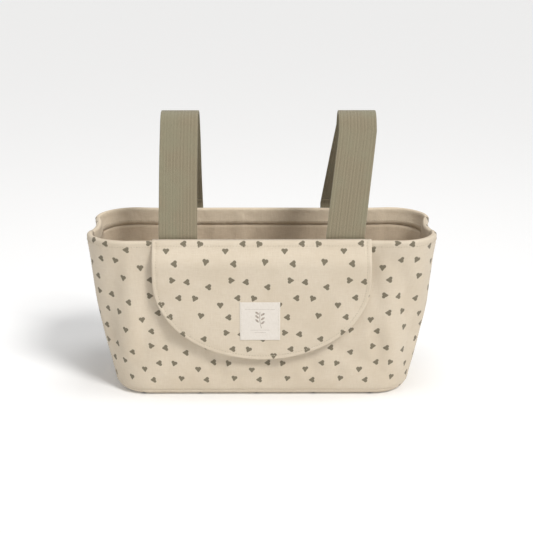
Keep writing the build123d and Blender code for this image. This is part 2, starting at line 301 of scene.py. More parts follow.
def outline(columns, size, corner):
    """The rounded outline, going to the left from the middle of the back, and its outward directions."""
    a, b = size[0] / 2, size[1] / 2
    p, q = a - corner, b - corner
    straight = {
        "back_left": ((0, b), (-p, b), (0, 1)),
        "left": ((-a, q), (-a, -q), (-1, 0)),
        "front": ((-p, -b), (p, -b), (0, -1)),
        "right": ((a, -q), (a, q), (1, 0)),
        "back_right": ((p, b), (0, b), (0, 1)),
    }
    round_corner = {
        "corner_back_left": ((-p, q), 90),
        "corner_front_left": ((-p, -q), 180),
        "corner_front_right": ((p, -q), 270),
        "corner_back_right": ((p, q), 0),
    }
    points, outward = [], []
    for run, place in columns:
        if run in straight:
            start, end, way = straight[run]
            points.append([s + (e - s) * place for s, e in zip(start, end)])
            outward.append(way)
        else:
            centre, first = round_corner[run]
            angle = math.radians(first + 90 * place)
            way = (math.cos(angle), math.sin(angle))
            points.append([c + corner * w for c, w in zip(centre, way)])
            outward.append(way)
    return np.array(points), np.array(outward, float)


columns = round_the_bag()
run_names = np.array([run for run, place in columns])
base_line, base_way = outline(columns, BASE_SIZE, BASE_CORNER)
rim_line, _ = outline(columns, TOP_SIZE, TOP_CORNER)


def wall_point(height):
    """The plain tapered shell's outline at a height."""
    share = height / RIM
    return base_line * (1 - share) + rim_line * share


# Rows go up: round the bottom edge from where the base is flat, then up the wall to the rim.
edge_angles = np.radians(np.array([0, 15, 30, 42, 50, 54.5, 58, 62, 70, 80]))
straight_rows = np.concatenate((np.linspace(BOTTOM_EDGE, RIM - 6 * MM, 38), [RIM - 4 * MM, RIM - ROLL]))
rows = []
for angle in edge_angles:
    height = BOTTOM_EDGE * (1 - math.cos(angle))
    inset = BOTTOM_EDGE * (1 - math.sin(angle))
    line = wall_point(height) - base_way * inset
    rows.append(np.column_stack((line, np.full(len(line), height))))
for height in straight_rows:
    line = wall_point(height)
    rows.append(np.column_stack((line, np.full(len(line), height))))
plain_walls = np.array(rows).transpose(1, 0, 2)


def facing_out(grid, closed=True):
    """The outward direction at each point of a grid whose columns go round and rows go up."""
    if closed:
        along = np.roll(grid, -1, 0) - np.roll(grid, 1, 0)
    else:
        along = np.gradient(grid, axis=0)
    up = np.gradient(grid, axis=1)
    out = np.cross(along, up)
    return out / np.linalg.norm(out, axis=2, keepdims=True)


def waves(seed, place, sizes, strength):
    """Soft uneven waves: the sum of a few seeded sines over two cloth directions."""
    draw = np.random.default_rng(seed)
    total = np.zeros(place.shape[:-1])
    for size in sizes:
        for _ in range(3):
            angle, phase = draw.uniform(0, 2 * math.pi, 2)
            direction = np.array([math.cos(angle), math.sin(angle)]) * 2 * math.pi / size
            total += np.sin(place @ direction + phase) * draw.uniform(0.6, 1.0) * size
    return strength * total / (3 * sum(sizes))


def cloth_grid(grid):
    """Metres of cloth along and up a grid, measured on the cloth itself."""
    row = grid.shape[1] // 2
    along = np.concatenate(([0], np.cumsum(np.linalg.norm(np.diff(grid[:, row], axis=0), axis=1))))
    up = np.concatenate(([0], np.cumsum(np.linalg.norm(np.diff(grid[len(grid) // 2], axis=0), axis=1))))
    return np.stack(np.meshgrid(along, up, indexing="ij"), axis=2)


def make_piece(name, points, faces, finish, uv=None):
    """A mesh object from points and faces, with the cloth coordinates of its points."""
    mesh = bpy.data.meshes.new(name)
    mesh.from_pydata([tuple(p) for p in points], [], [tuple(int(i) for i in f) for f in faces])
    if uv is not None:
        layer = mesh.uv_layers.new(name="cloth")
        corners = np.zeros(len(mesh.loops), np.int32)
        mesh.loops.foreach_get("vertex_index", corners)
        layer.data.foreach_set("uv", np.asarray(uv, np.float32)[corners].ravel())
    mesh.shade_smooth()
    mesh.materials.append(finish)
    piece = bpy.data.objects.new(name, mesh)
    bpy.context.scene.collection.objects.link(piece)
    return piece


def let_cloth_settle(start, pinned, seed_waves, pressure, slack, cap):
    """Lets a closed ring of canvas settle between its seams, and says how far each point moved."""
    around, high = start.shape[:2]
    index = np.arange(around * high).reshape(around, high)
    faces = np.stack(
        (index[:, :-1], np.roll(index, -1, 0)[:, :-1], np.roll(index, -1, 0)[:, 1:], index[:, 1:]), 2
    )
    begin = start + seed_waves
    ring = make_piece("settling_canvas", begin.reshape(-1, 3), faces.reshape(-1, 4), canvas)
    group = ring.vertex_groups.new(name="sewn")
    weights = pinned.ravel()
    for level in np.unique(weights):
        if level > 0:
            group.add([int(i) for i in np.nonzero(weights == level)[0]], float(level), "REPLACE")
    cloth = ring.modifiers.new("settle", "CLOTH")
    rules = cloth.settings
    rules.quality = 6
    rules.mass = 0.15
    rules.tension_stiffness = rules.compression_stiffness = 20
    rules.shear_stiffness = 8
    rules.bending_stiffness = 1.5
    rules.vertex_group_mass = "sewn"
    rules.shrink_min = -slack
    rules.use_pressure = True
    rules.uniform_pressure_force = pressure
    rules.effector_weights.gravity = 0.4
    cloth.collision_settings.use_collision = False
    scene = bpy.context.scene
    cloth.point_cache.frame_start, cloth.point_cache.frame_end = 1, 24
    for step in range(1, 25):
        scene.frame_set(step)
    shape = ring.evaluated_get(bpy.context.evaluated_depsgraph_get()).data
    settled = np.zeros(len(shape.vertices) * 3)
    shape.vertices.foreach_get("co", settled)
    moved = settled.reshape(start.shape) - start
    bpy.data.objects.remove(ring)
    scene.frame_set(1)
    size = np.linalg.norm(moved, axis=2, keepdims=True)
    return moved * np.minimum(1, cap / np.maximum(size, 1e-9))


out_plain = facing_out(plain_walls)
place_on_wall = cloth_grid(np.concatenate((plain_walls, plain_walls[:1])))[:-1]
height_share = np.clip(plain_walls[..., 2] / RIM, 0, 1)
soft = np.sin(math.pi * np.clip((plain_walls[..., 2] - BOTTOM_EDGE) / (RIM - BOTTOM_EDGE), 0, 1))
seam_line = np.zeros(len(columns))
for run in ("left", "corner_front_left", "right", "corner_back_right"):
    seam_line[np.argmax(run_names == run)] = 1
first_waves = waves(7, place_on_wall, (0.05, 0.09, 0.16), 1.0) * soft
start_move = out_plain * (first_waves * 3.0 * MM + soft * 1.4 * MM)[..., None]
pins = np.zeros(plain_walls.shape[:2])
pins[:, :6] = 1
pins[:, -2:] = 1
pins[seam_line > 0] = np.maximum(pins[seam_line > 0], 0.25)
settled_move = let_cloth_settle(plain_walls, pins, start_move, 0.9, 0.012, 4.0 * MM)
# The seam allowances and the board keep the bottom edge neat.
settled_move = settled_move * np.clip((plain_walls[..., 2:] - 8 * MM) / (26 * MM), 0, 1)

# The rim is only held up by the loops, so it wavers a little between them.
rim_waver = waves(3, place_on_wall[:, -1:].repeat(plain_walls.shape[1], 1), (0.12, 0.22), 1.0)
towards_rim = np.clip((height_share - 0.6) / 0.4, 0, 1) ** 2
rim_move = out_plain * (rim_waver * towards_rim * 1.8 * MM)[..., None]
corner_flare = np.array([run.startswith("corner") for run in run_names], float)
corner_flare = np.convolve(np.tile(corner_flare, 3), np.hanning(15) / np.hanning(15).sum(), "same")
corner_flare = corner_flare[len(columns) : 2 * len(columns)]
rim_move += out_plain * (corner_flare[:, None] * towards_rim**2 * 2.5 * MM)[..., None]
# The ends are tucked in a little at the rim, because nothing holds them out.
end_tuck = np.array([math.sin(math.pi * p) if run in ("left", "right") else 0.0 for run, p in columns])
end_tuck = np.convolve(np.tile(end_tuck, 3), np.hanning(15) / np.hanning(15).sum(), "same")
end_tuck = end_tuck[len(columns) : 2 * len(columns), None] * towards_rim
rim_move -= out_plain * (end_tuck * 4.5 * MM)[..., None]
rim_move[..., 2] -= end_tuck * 2.5 * MM

# Soft folds where the canvas gives, as (from the front's middle, height, slant, long, wide, deep) in mm.
CREASES = (
    (-150, 122, 78, 40, 9, -2.9), (-130, 96, 66, 44, 9, 2.2), (-163, 66, 100, 40, 9, -2.6),
    (-128, 50, 38, 44, 8, -2.4), (-178, 100, 84, 60, 9, 2.4), (-90, 33, 14, 60, 7, -1.9),
    (-112, 22, 24, 36, 6, 1.5), (-34, 26, -5, 62, 6, -1.8), (-12, 37, 5, 58, 7, 1.5),
    (56, 34, -8, 54, 6, -1.9), (74, 22, 6, 40, 6, 1.2), (106, 44, -30, 46, 8, -2.4),
    (131, 76, -60, 42, 9, 2.1), (148, 108, -76, 50, 9, -3.1), (165, 124, -84, 46, 8, 2.3),
    (166, 66, -88, 54, 8, -2.8), (136, 142, -58, 30, 7, -1.9), (185, 96, 92, 55, 9, 2.4),
    (-192, 52, 80, 40, 8, -2.2), (196, 46, 96, 40, 8, -2.2), (-222, 110, 88, 55, 10, 2.3),
    (220, 96, 94, 55, 10, 2.2), (-300, 100, 70, 50, 10, -2.1), (306, 88, -72, 50, 10, -2.0),
    (-380, 52, 14, 60, 8, -1.6), (372, 46, -16, 60, 8, -1.6),
)
CREASE_DEEPER = 1.3  # all the folds are this much deeper than listed
front_middle = int(np.argmax(run_names == "front")) + FRONT_PLACES // 2
from_front = place_on_wall[..., 0] - place_on_wall[front_middle, 0, 0]
crease = np.zeros(plain_walls.shape[:2])
for across, height, slant, long, wide, deep in CREASES:
    way = math.radians(slant)
    to_x, to_z = from_front - across * MM, plain_walls[..., 2] - height * MM
    down = to_x * math.cos(way) + to_z * math.sin(way)
    beside_it = to_z * math.cos(way) - to_x * math.sin(way)
    fade = np.exp(-((down / (long * MM)) ** 2) - (beside_it / (wide * MM)) ** 2)
    crease += deep * CREASE_DEEPER * MM * fade
rim_move += out_plain * (crease * soft**0.5)[..., None]
SIDE_SEAM_DIP, BASE_SEAM_DIP = 0.8 * MM, 0.45 * MM
seam_dip = np.zeros(plain_walls.shape[:2])
seam_dip[seam_line > 0] = SIDE_SEAM_DIP
seam_row = int(np.argmin(abs(edge_angles - math.acos(1 - BASE_SEAM / BOTTOM_EDGE))))
seam_dip[:, seam_row] = BASE_SEAM_DIP
walls = plain_walls + settled_move + rim_move
out_walls = facing_out(walls)
walls = walls - out_walls * seam_dip[..., None]


def seal_sheet(outer, inner, uv, name, finish):
    """A sheet with thickness: two grids of points joined round their four edges, faces outward."""
    high, wide = outer.shape[1], outer.shape[0]
    points = np.concatenate((outer.reshape(-1, 3), inner.reshape(-1, 3)))
    index = np.arange(wide * high).reshape(wide, high)
    front = np.stack((index[:-1, :-1], index[1:, :-1], index[1:, 1:], index[:-1, 1:]), 2).reshape(-1, 4)
    back = front[:, ::-1] + wide * high
    edge = np.concatenate((index[:, 0], index[-1, 1:], index[-2::-1, -1], index[0, -2:0:-1]))
    following = np.roll(edge, -1)
    sides = np.stack((edge, edge + wide * high, following + wide * high, following), 1)
    flat_uv = uv.reshape(-1, 2)
    return make_piece(
        name, points, np.concatenate((front, back, sides)), finish, np.concatenate((flat_uv, flat_uv))
    )


def stand_for(piece, part, body):
    """Puts a piece in a part's place, on the body it moves with."""
    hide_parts(part)
    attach(piece, body)


def declare_cloth(piece, cut, held, *rests_on, turned=0.0):
    """Measures a sheet by the pattern it was cut to, before it settled, folded or was filled, and keeps
    nothing.

    turned is what goes on round the rim, past the pattern's last row.
    """
    cut = np.pad(cut, ((0, 0), (0, 0), (0, 3 - cut.shape[2])))
    across = np.linalg.norm(np.diff(cut, axis=0), axis=2).sum(0)
    up = np.linalg.norm(np.diff(cut, axis=1), axis=2).sum(1).max() + turned
    sides = cut[1:, :-1] - cut[:-1, :-1], cut[:-1, 1:] - cut[:-1, :-1]
    area = np.linalg.norm(np.cross(*sides), axis=2).sum() + across[-1] * turned


def layer_of_wall(keep, low_row, outer_depth, inner_depth):
    """One layer of some of the walls' columns: its outer and inner points, at depths from outside."""
    grid, out = walls[keep][:, low_row:], out_walls[keep][:, low_row:]
    return grid - out * outer_depth, grid - out * inner_depth


def columns_between(first_run, last_run):
    """Column numbers from the start of one run to the start of what follows another."""
    start = int(np.argmax(run_names == first_run))
    stop = int(len(run_names) - np.argmax(run_names[::-1] == last_run))
    return np.arange(start, stop + 1) % len(run_names)


front_columns = columns_between("corner_front_left", "corner_front_right")
left_columns = columns_between("left", "left")
right_columns = columns_between("right", "right")
back_columns = np.concatenate(
    (
        columns_between("corner_back_right", "back_right")[:-1],
        columns_between("back_left", "corner_back_left"),
    )
)
PRINT_START = {
    "cover_front": (0.1334, -0.0269),
    "cover_back": (0.021, 0.013),
    "cover_left": (0.043, 0.031),
    "cover_right": (0.005, 0.047),
}


def over_the_rim(keep, outer_depth, inner_depth, low_row):
    """A cover panel's two sides, taken on round the outer half of the rim's roll."""
    outer, inner = layer_of_wall(keep, low_row, outer_depth, inner_depth)
    out = out_walls[keep][:, -1:]
    centre = outer[:, -1:] - out * (ROLL - outer_depth)
    lift = np.array([0, 0, 1.0])
    turns = np.radians([22, 45, 68, 90])
    rolled = [
        np.concatenate([centre + (out * math.cos(t) + lift * math.sin(t)) * radius for t in turns], 1)
        for radius in (ROLL - outer_depth, ROLL - inner_depth)
    ]
    return np.concatenate((outer, rolled[0]), 1), np.concatenate((inner, rolled[1]), 1)


cover_columns = {
    "cover_front": front_columns,
    "cover_back": back_columns,
    "cover_left": left_columns,
    "cover_right": right_columns,
}
cover_nodes = {
    "cover_front": "front_panel",
    "cover_back": "back_panel",
    "cover_left": "left_gusset",
    "cover_right": "right_gusset",
}
for name, keep in cover_columns.items():
    outer, inner = over_the_rim(keep, 0.0, CANVAS_THICK, seam_row)
    uv = cloth_grid(outer)
    uv[..., 0] -= uv[:, :, 0].mean()
    uv += np.array(PRINT_START[name])
    panel = seal_sheet(outer, inner, uv, name, canvas)
    stand_for(panel, cover_nodes[name], "bag")
    paddings = ("front_padding", "back_padding", "left_padding", "right_padding")
    over_rim = ROLL * math.pi / 2
    declare_cloth(panel, plain_walls[keep][:, seam_row:], "stretched", *paddings, turned=over_rim)


def base_rings(outermost, depth, rings):
    """Rings from the flat bottom's outline to its middle line, at a depth up into the base."""
    spine_half = BASE_SIZE[0] / 2 - BASE_SIZE[1] / 2
    spine = np.column_stack(
        (np.clip(outermost[:, 0], -spine_half, spine_half), np.zeros(len(outermost)), outermost[:, 2])
    )
    shares = np.linspace(0, 1, rings + 1)[1:]
    flat = np.stack([outermost + (spine - outermost) * s for s in shares], 1)
    flat[..., 2] = depth
    return flat


bottom_outer = walls[:, seam_row::-1]
bottom_outer = np.concatenate((bottom_outer, base_rings(bottom_outer[:, -1], 0.0, 14)), 1)
bottom_inner = walls[:, seam_row::-1] - out_walls[:, seam_row::-1] * CANVAS_THICK
bottom_inner = np.concatenate((bottom_inner, base_rings(bottom_inner[:, -1], CANVAS_THICK, 14)), 1)


def seal_dish(outer, inner, name, finish):
    """A closed dish: two stacks of rings that close on their middle lines, joined at the brim."""
    around, deep = outer.shape[:2]
    index = np.arange(around * deep).reshape(around, deep)
    nxt = np.roll(index, -1, 0)
    skin = np.stack((index[:, :-1], index[:, 1:], nxt[:, 1:], nxt[:, :-1]), 2).reshape(-1, 4)
    inside = skin[:, ::-1] + around * deep
    brim = np.stack((index[:, 0], nxt[:, 0], nxt[:, 0] + around * deep, index[:, 0] + around * deep), 1)
    points = np.concatenate((outer.reshape(-1, 3), inner.reshape(-1, 3)))
    piece = make_piece(name, points, np.concatenate((skin, inside, brim)), finish, points[:, :2])
    weld(piece)
    return piece


def weld(piece, gap=0.02 * MM):
    """Joins points that lie on each other and turns every face outward."""
    soft_mesh = bmesh.new()
    soft_mesh.from_mesh(piece.data)
    bmesh.ops.remove_doubles(soft_mesh, verts=soft_mesh.verts, dist=gap)
    bmesh.ops.dissolve_degenerate(soft_mesh, edges=soft_mesh.edges, dist=gap)
    bmesh.ops.recalc_face_normals(soft_mesh, faces=soft_mesh.faces)
    soft_mesh.to_mesh(piece.data)
    soft_mesh.free()
    piece.data.shade_smooth()


base_cover = seal_dish(bottom_outer, bottom_inner, "cover_base", canvas)
stand_for(base_cover, "base_panel", "bag")


def declare_dish(piece, edge, held, *rests_on):
    """Works out the area of a base's cloth, cut as the flat bottom and what goes up round its edge, and keeps
    nothing.
    """
    wide, deep = (size - 2 * BOTTOM_EDGE + 2 * edge for size in BASE_SIZE)
    corner = BASE_CORNER - BOTTOM_EDGE + edge
    area = wide * deep - (4 - math.pi) * corner**2


declare_dish(base_cover, BOTTOM_EDGE * math.acos(1 - BASE_SEAM / BOTTOM_EDGE), "stretched", "base_padding")


# ---- Stitching ----------------------------------------------------------------------------------
# Cotton thread, a little paler than the canvas, in short machine stitches that sink into the cloth.

THREAD = linear(206, 194, 172)
STITCH_PITCH, STITCH_LONG, THREAD_RADIUS = 2.9 * MM, 2.1 * MM, 0.32 * MM


def sewing_thread(name, colour):
    finish, shader, dye = finish_named(name, 0.8, sheen=0.2)
    grain = dye.node("ShaderNodeTexCoord", out=3)
    twist = dye.node("ShaderNodeTexNoise", (), {"Vector": grain, "Scale": 900.0, "Detail": 2.0})
    darker = tuple(c * 0.72 for c in colour[:3]) + (1.0,)
    finish.node_tree.links.new(
        twist.fade(0.3, 0.7).blend(darker, colour).socket, shader.inputs["Base Color"]
    )
    return finish


thread = sewing_thread("cream_thread", THREAD)
olive_thread = sewing_thread("olive_thread", linear(128, 119, 94))


def stitch_tree():
    """Places one stitch after another along the lines of a mesh."""
    tree = bpy.data.node_groups.new("running_stitch", "GeometryNodeTree")
    face = tree.interface
    face.new_socket("Lines", in_out="INPUT", socket_type="NodeSocketGeometry")
    sockets = {}
    for label in ("Pitch", "Length", "Radius"):
        sockets[label] = face.new_socket(label, in_out="INPUT", socket_type="NodeSocketFloat").identifier
    sockets["Thread"] = face.new_socket(
        "Thread", in_out="INPUT", socket_type="NodeSocketMaterial"
    ).identifier
    face.new_socket("Stitches", in_out="OUTPUT", socket_type="NodeSocketGeometry")
    add, link = tree.nodes.new, tree.links.new
    given, made = add("NodeGroupInput"), add("NodeGroupOutput")
    line, even = add("GeometryNodeMeshToCurve"), add("GeometryNodeResampleCurve")
    even.mode = "LENGTH"
    link(given.outputs["Lines"], line.inputs["Mesh"])
    link(line.outputs["Curve"], even.inputs["Curve"])
    link(given.outputs["Pitch"], even.inputs["Length"])
    stitch = add("GeometryNodeMeshUVSphere")
    stitch.inputs["Segments"].default_value, stitch.inputs["Rings"].default_value = 6, 5
    stitch.inputs["Radius"].default_value = 1.0
    along, turn = add("GeometryNodeInputTangent"), add("FunctionNodeAlignRotationToVector")
    turn.axis = "X"
    link(along.outputs["Tangent"], turn.inputs["Vector"])
    uneven = add("FunctionNodeRandomValue")
    uneven.data_type = "FLOAT"
    uneven.inputs[2].default_value, uneven.inputs[3].default_value = 0.86, 1.12
    uneven.inputs["Seed"].default_value = 4
    size, half = add("ShaderNodeCombineXYZ"), add("ShaderNodeMath")
    half.operation = "MULTIPLY"
    link(given.outputs["Length"], half.inputs[0])
    half.inputs[1].default_value = 0.5
    link(half.outputs[0], size.inputs[0])
    link(given.outputs["Radius"], size.inputs[1])
    link(given.outputs["Radius"], size.inputs[2])
    varied = add("ShaderNodeVectorMath")
    varied.operation = "SCALE"
    link(size.outputs[0], varied.inputs[0])
    link(uneven.outputs[1], varied.inputs["Scale"])
    place = add("GeometryNodeInstanceOnPoints")
    link(even.outputs["Curve"], place.inputs["Points"])
    link(stitch.outputs["Mesh"], place.inputs["Instance"])
    link(turn.outputs["Rotation"], place.inputs["Rotation"])
    link(varied.outputs[0], place.inputs["Scale"])
    real, paint = add("GeometryNodeRealizeInstances"), add("GeometryNodeSetMaterial")
    link(place.outputs["Instances"], real.inputs["Geometry"])
    link(real.outputs["Geometry"], paint.inputs["Geometry"])
    link(given.outputs["Thread"], paint.inputs["Material"])
    link(paint.outputs["Geometry"], made.inputs["Stitches"])
    return tree, sockets


stitching, stitch_sockets = stitch_tree()


def make_plain(piece, name):
    """Turns what a piece's modifiers make into a plain mesh object."""
    shape = piece.evaluated_get(bpy.context.evaluated_depsgraph_get())
    mesh = bpy.data.meshes.new_from_object(shape)
    old = piece.data
    piece.modifiers.clear()
    piece.data = mesh
    bpy.data.meshes.remove(old)
    piece.name = mesh.name = name
    mesh.shade_smooth()
    return piece


def stitches_along(name, lines, finish=thread, pitch=STITCH_PITCH, length=STITCH_LONG, radius=THREAD_RADIUS):
    """Stitches along some lines, each an array of points."""
    mesh = bpy.data.meshes.new(name)
    points, edges = [], []
    for line in lines:
        first = len(points)
        points += [tuple(p) for p in line]
        edges += [(i, i + 1) for i in range(first, len(points) - 1)]
    mesh.from_pydata(points, edges, [])
    piece = bpy.data.objects.new(name, mesh)
    bpy.context.scene.collection.objects.link(piece)
    rule = piece.modifiers.new("stitches", "NODES")
    rule.node_group = stitching
    rule[stitch_sockets["Pitch"]], rule[stitch_sockets["Length"]] = pitch, length
    rule[stitch_sockets["Radius"]], rule[stitch_sockets["Thread"]] = radius, finish
    return make_plain(piece, name)


def sew(name, lines, body, slot="cover_cloth", **how):
    """Stitches that ride on one body."""
    piece = stitches_along(name, lines, **how)
    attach(piece, body)
    return piece


def row_near(height):
    return int(np.argmin(abs(plain_walls[0, :, 2] - height)))


def line_on_walls(keep, row, lift=0.1 * MM):
    return (walls + out_walls * lift)[keep, row]


def loop_closed(line):
    return np.concatenate((line, line[:1]))


rim_stitch_row = row_near(RIM - 7 * MM)
wall_rows = slice(row_near(BASE_SEAM + 3 * MM), rim_stitch_row)
seam_starts = [int(np.argmax(run_names == run)) for run in ("left", "right")]
seam_ends = [int(np.argmax(run_names == run)) for run in ("corner_front_left", "corner_back_right")]
beside = [c - 3 for c in seam_starts] + [c + 3 for c in seam_ends]
cover_lines = [
    loop_closed(line_on_walls(slice(None), rim_stitch_row)),
    *[(walls + out_walls * 0.1 * MM)[c, wall_rows] for c in beside],
]
sew("cover_stitching", cover_lines, "bag")


# ---- Rim facing ---------------------------------------------------------------------------------
# A plain strip of the same canvas, sewn to the panels along the crest of the rim and turned down
# inside to cover the raw edge of the lining.

FACING_DEEP = 18 * MM
FACING_OUT = 0.5 * MM


def plain_cotton(name, colour, paler, pitch, sheen=0.12):
    """An unprinted cotton: weave, slubs and a slight unevenness of colour."""
    finish, shader, dye = finish_named(name, 0.9, sheen=sheen)
    place = on_cloth(dye)
    weave = plain_weave(place, pitch)
    slubs = noise(place, 0.9, 3.0, 0.6, (1.0, 0.12, 1.0)) + noise(place, 0.9, 3.0, 0.6, (0.12, 1.0, 1.0))
    tone = (slubs * 0.5).fade(0.3, 0.7) * 0.8 + weave * 0.1
    ground = tone.blend(colour, paler)
    worn = noise(place, 0.02, 3.0).fade(0.35, 0.7, 0.0, 0.3)
    ground = worn.blend(ground, tuple(c * 0.88 for c in colour[:3]) + (1.0,))
    finish.node_tree.links.new(ground.socket, shader.inputs["Base Color"])
    finish.node_tree.links.new((0.88 + weave * 0.04).socket, shader.inputs["Roughness"])
    crumple = raise_surface(shader, noise(place, 0.05, 4.0, 0.55), 0.0014, 0.9)
    raise_surface(shader, weave * 0.6 + slubs * 0.8, 0.00016, 0.8, under=crumple)
    return finish


plain_canvas = plain_cotton("plain_canvas", linear(218, 202, 178), linear(226, 211, 189), WEAVE_PITCH)


def facing_profile(radius_cut):
    """The facing's side of the roll and the band below it, as one side of the strip."""
    out = out_walls[:, -1:]
    outer = walls[:, -1:]
    centre = outer - out * ROLL
    up = np.array([0, 0, 1.0])
    turns = np.radians([90, 112, 135, 158, 180])
    shares = np.clip((np.degrees(turns) - 90) / 90, 0, 1)
    rolled = [
        centre + (out * math.cos(t) + up * math.sin(t)) * (ROLL - radius_cut + FACING_OUT * share)
        for t, share in zip(turns, shares)
    ]
    top = RIM - ROLL
    rows = [r for r in range(walls.shape[1]) if top - FACING_DEEP < plain_walls[0, r, 2] < top - 1 * MM]
    depth = WALL + FACING_OUT - radius_cut
    band = [(walls - out_walls * depth)[:, r : r + 1] for r in rows[::-1]]
    return np.concatenate(rolled + band, 1)


facing_outer = facing_profile(0.0)
facing_inner = facing_profile(0.9 * MM)


def seal_band(outer, inner, name, finish):
    """A closed strip that goes all the way round: its two sides joined along both edges."""
    around, wide = outer.shape[:2]
    ring_uv = cloth_grid(np.concatenate((outer, outer[:1])))
    outer, inner = (np.concatenate((side, side[:1])) for side in (outer, inner))
    index = np.arange((around + 1) * wide).reshape(around + 1, wide)
    skin = np.stack((index[:-1, :-1], index[:-1, 1:], index[1:, 1:], index[1:, :-1]), 2).reshape(-1, 4)
    skin = skin[:, ::-1]
    shift = (around + 1) * wide
    edges = [
        np.stack((index[:-1, k], index[1:, k], index[1:, k] + shift, index[:-1, k] + shift), 1)
        for k in (0, -1)
    ]
    points = np.concatenate((outer.reshape(-1, 3), inner.reshape(-1, 3)))
    faces = np.concatenate((skin, skin[:, ::-1] + shift, edges[0], edges[1]))
    uv = ring_uv.reshape(-1, 2)
    piece = make_piece(name, points, faces, finish, np.concatenate((uv, uv)))
    weld(piece)
    return piece


facing = seal_band(facing_outer, facing_inner, "rim_facing_strip", plain_canvas)
stand_for(facing, "rim_facing", "bag")


# ---- Foam and base board ------------------------------------------------------------------------
# Thin foam with a fleece face stands inside every wall and under the floor, and a stiff plastic board
# lies on the floor's foam. None of it shows, but it holds the bag open.

FOAM_FROM, FOAM_TO = 1.25 * MM, 4.35 * MM


def soft_foam():
    finish, shader, dye = finish_named("fleece_foam", 0.95, sheen=0.3)
    grain = dye.node("ShaderNodeTexCoord", out=3)
    cells = dye.node("ShaderNodeTexNoise", (), {"Vector": grain, "Scale": 700.0, "Detail": 3.0})
    colour = cells.fade(0.3, 0.7).blend(linear(214, 210, 200), linear(236, 233, 225))
    finish.node_tree.links.new(colour.socket, shader.inputs["Base Color"])
    raise_surface(shader, cells, 0.0004, 0.8)
    return finish


foam = soft_foam()
mid_x = plain_walls[:, row_near(90 * MM), 0]
mid_y = plain_walls[:, row_near(90 * MM), 1]
PAD_HALF, END_PAD_FROM = 118 * MM, 116 * MM
foam_sets = {
    "front_padding": np.nonzero((abs(mid_x) <= PAD_HALF) & (mid_y < 0))[0],
    "left_padding": np.nonzero(mid_x <= -END_PAD_FROM)[0],
    "right_padding": np.nonzero(mid_x >= END_PAD_FROM)[0],
}
back_all = np.nonzero((abs(mid_x) <= PAD_HALF) & (mid_y > 0))[0]
starts_left = back_all < len(columns) / 2
foam_sets["back_padding"] = np.concatenate((back_all[back_all > len(columns) / 2], back_all[starts_left]))
for name, keep in foam_sets.items():
    outer, inner = layer_of_wall(keep, seam_row, FOAM_FROM, FOAM_TO)
    pad = seal_sheet(outer, inner, cloth_grid(outer), name.replace("padding", "foam"), foam)
    stand_for(pad, name, "bag")


def base_layer(depth_from, depth_to, floor_from, floor_to, name, finish, from_row=None):
    """A dish inside the base cover: its two sides, from the base seam to the flat middle."""
    sides = []
    for depth, floor_height in ((depth_from, floor_from), (depth_to, floor_to)):
        row = seam_row if from_row is None else from_row
        extra = (floor_height - depth) * (1 - np.clip(plain_walls[0, row::-1, 2] / BOTTOM_EDGE, 0, 1))
        wall_side = walls[:, row::-1] - out_walls[:, row::-1] * (depth + extra)[None, :, None]
        sides.append(np.concatenate((wall_side, base_rings(wall_side[:, -1], floor_height, 14)), 1))
    return seal_dish(*sides, name, finish)


base_foam = base_layer(FOAM_FROM, FOAM_TO, FOAM_FROM, FOAM_TO, "base_foam", foam)
stand_for(base_foam, "base_padding", "bag")


def stiff_board():
    finish, shader, dye = finish_named("stiff_board", 0.5)
    grain = dye.node("ShaderNodeTexCoord", out=3)
    scuff = dye.node("ShaderNodeTexNoise", (), {"Vector": grain, "Scale": 60.0, "Detail": 5.0})
    colour = scuff.fade(0.3, 0.7).blend(linear(196, 194, 186), linear(214, 212, 204))
    finish.node_tree.links.new(colour.socket, shader.inputs["Base Color"])
    finish.node_tree.links.new(scuff.fade(0.3, 0.7, 0.42, 0.6).socket, shader.inputs["Roughness"])
    return finish


board = frame["nodes"]["base_board"]
board.data.materials.clear()
board.data.materials.append(stiff_board())


# ---- Lining -------------------------------------------------------------------------------------
# A lighter, plain cotton bag inside the foam. It is cut a little full, so it ripples.

lining_cotton = plain_cotton("lining_cotton", linear(200, 182, 158), linear(212, 195, 172), 0.7)
LINING_FROM, LINING_TO = 4.45 * MM, 5.2 * MM
lining_top = max(r for r in range(walls.shape[1]) if plain_walls[0, r, 2] < RIM - FACING_DEEP + 3 * MM)
lining_low = row_near(BOTTOM_EDGE + 4 * MM)
lining_sets = {
    "front_lining": front_columns,
    "back_lining": back_columns,
    "left_lining": left_columns,
    "right_lining": right_columns,
}
full = waves(21, place_on_wall, (0.035, 0.06, 0.11), 1.0)
full_share = np.clip((plain_walls[..., 2] - 20 * MM) / (30 * MM), 0, 1)
full_share *= np.clip((RIM - 22 * MM - plain_walls[..., 2]) / (25 * MM), 0, 1)
ripple = (full * 0.9 + 0.5) * full_share * MM
for name, keep in lining_sets.items():
    spot = walls - out_walls * ripple[..., None]
    sides = [
        (spot - out_walls * depth)[keep][:, lining_low : lining_top + 1]
        for depth in (LINING_FROM, LINING_TO)
    ]
    # The side that shows faces the inside of the bag, so the columns are taken the other way round.
    shown, hidden = sides[1][::-1], sides[0][::-1]
    cloth_name = name.replace("lining", "lining_cloth")
    panel = seal_sheet(shown, hidden, cloth_grid(shown), cloth_name, lining_cotton)
    stand_for(panel, name, "bag")
    cut = (plain_walls - out_plain * LINING_TO)[keep][:, lining_low : lining_top + 1]
    declare_cloth(panel, cut, "hung", "rim_facing_strip")
BASE_LINING_TOP, BASE_LINING_UNDER = 6.7 * MM, 5.95 * MM
base_lining = base_layer(
    LINING_TO, LINING_FROM, BASE_LINING_TOP, BASE_LINING_UNDER, "base_lining_cloth", lining_cotton, lining_low
)
stand_for(base_lining, "base_lining", "bag")
lining_edge = (BOTTOM_EDGE - LINING_TO) * math.pi / 2 + 4 * MM
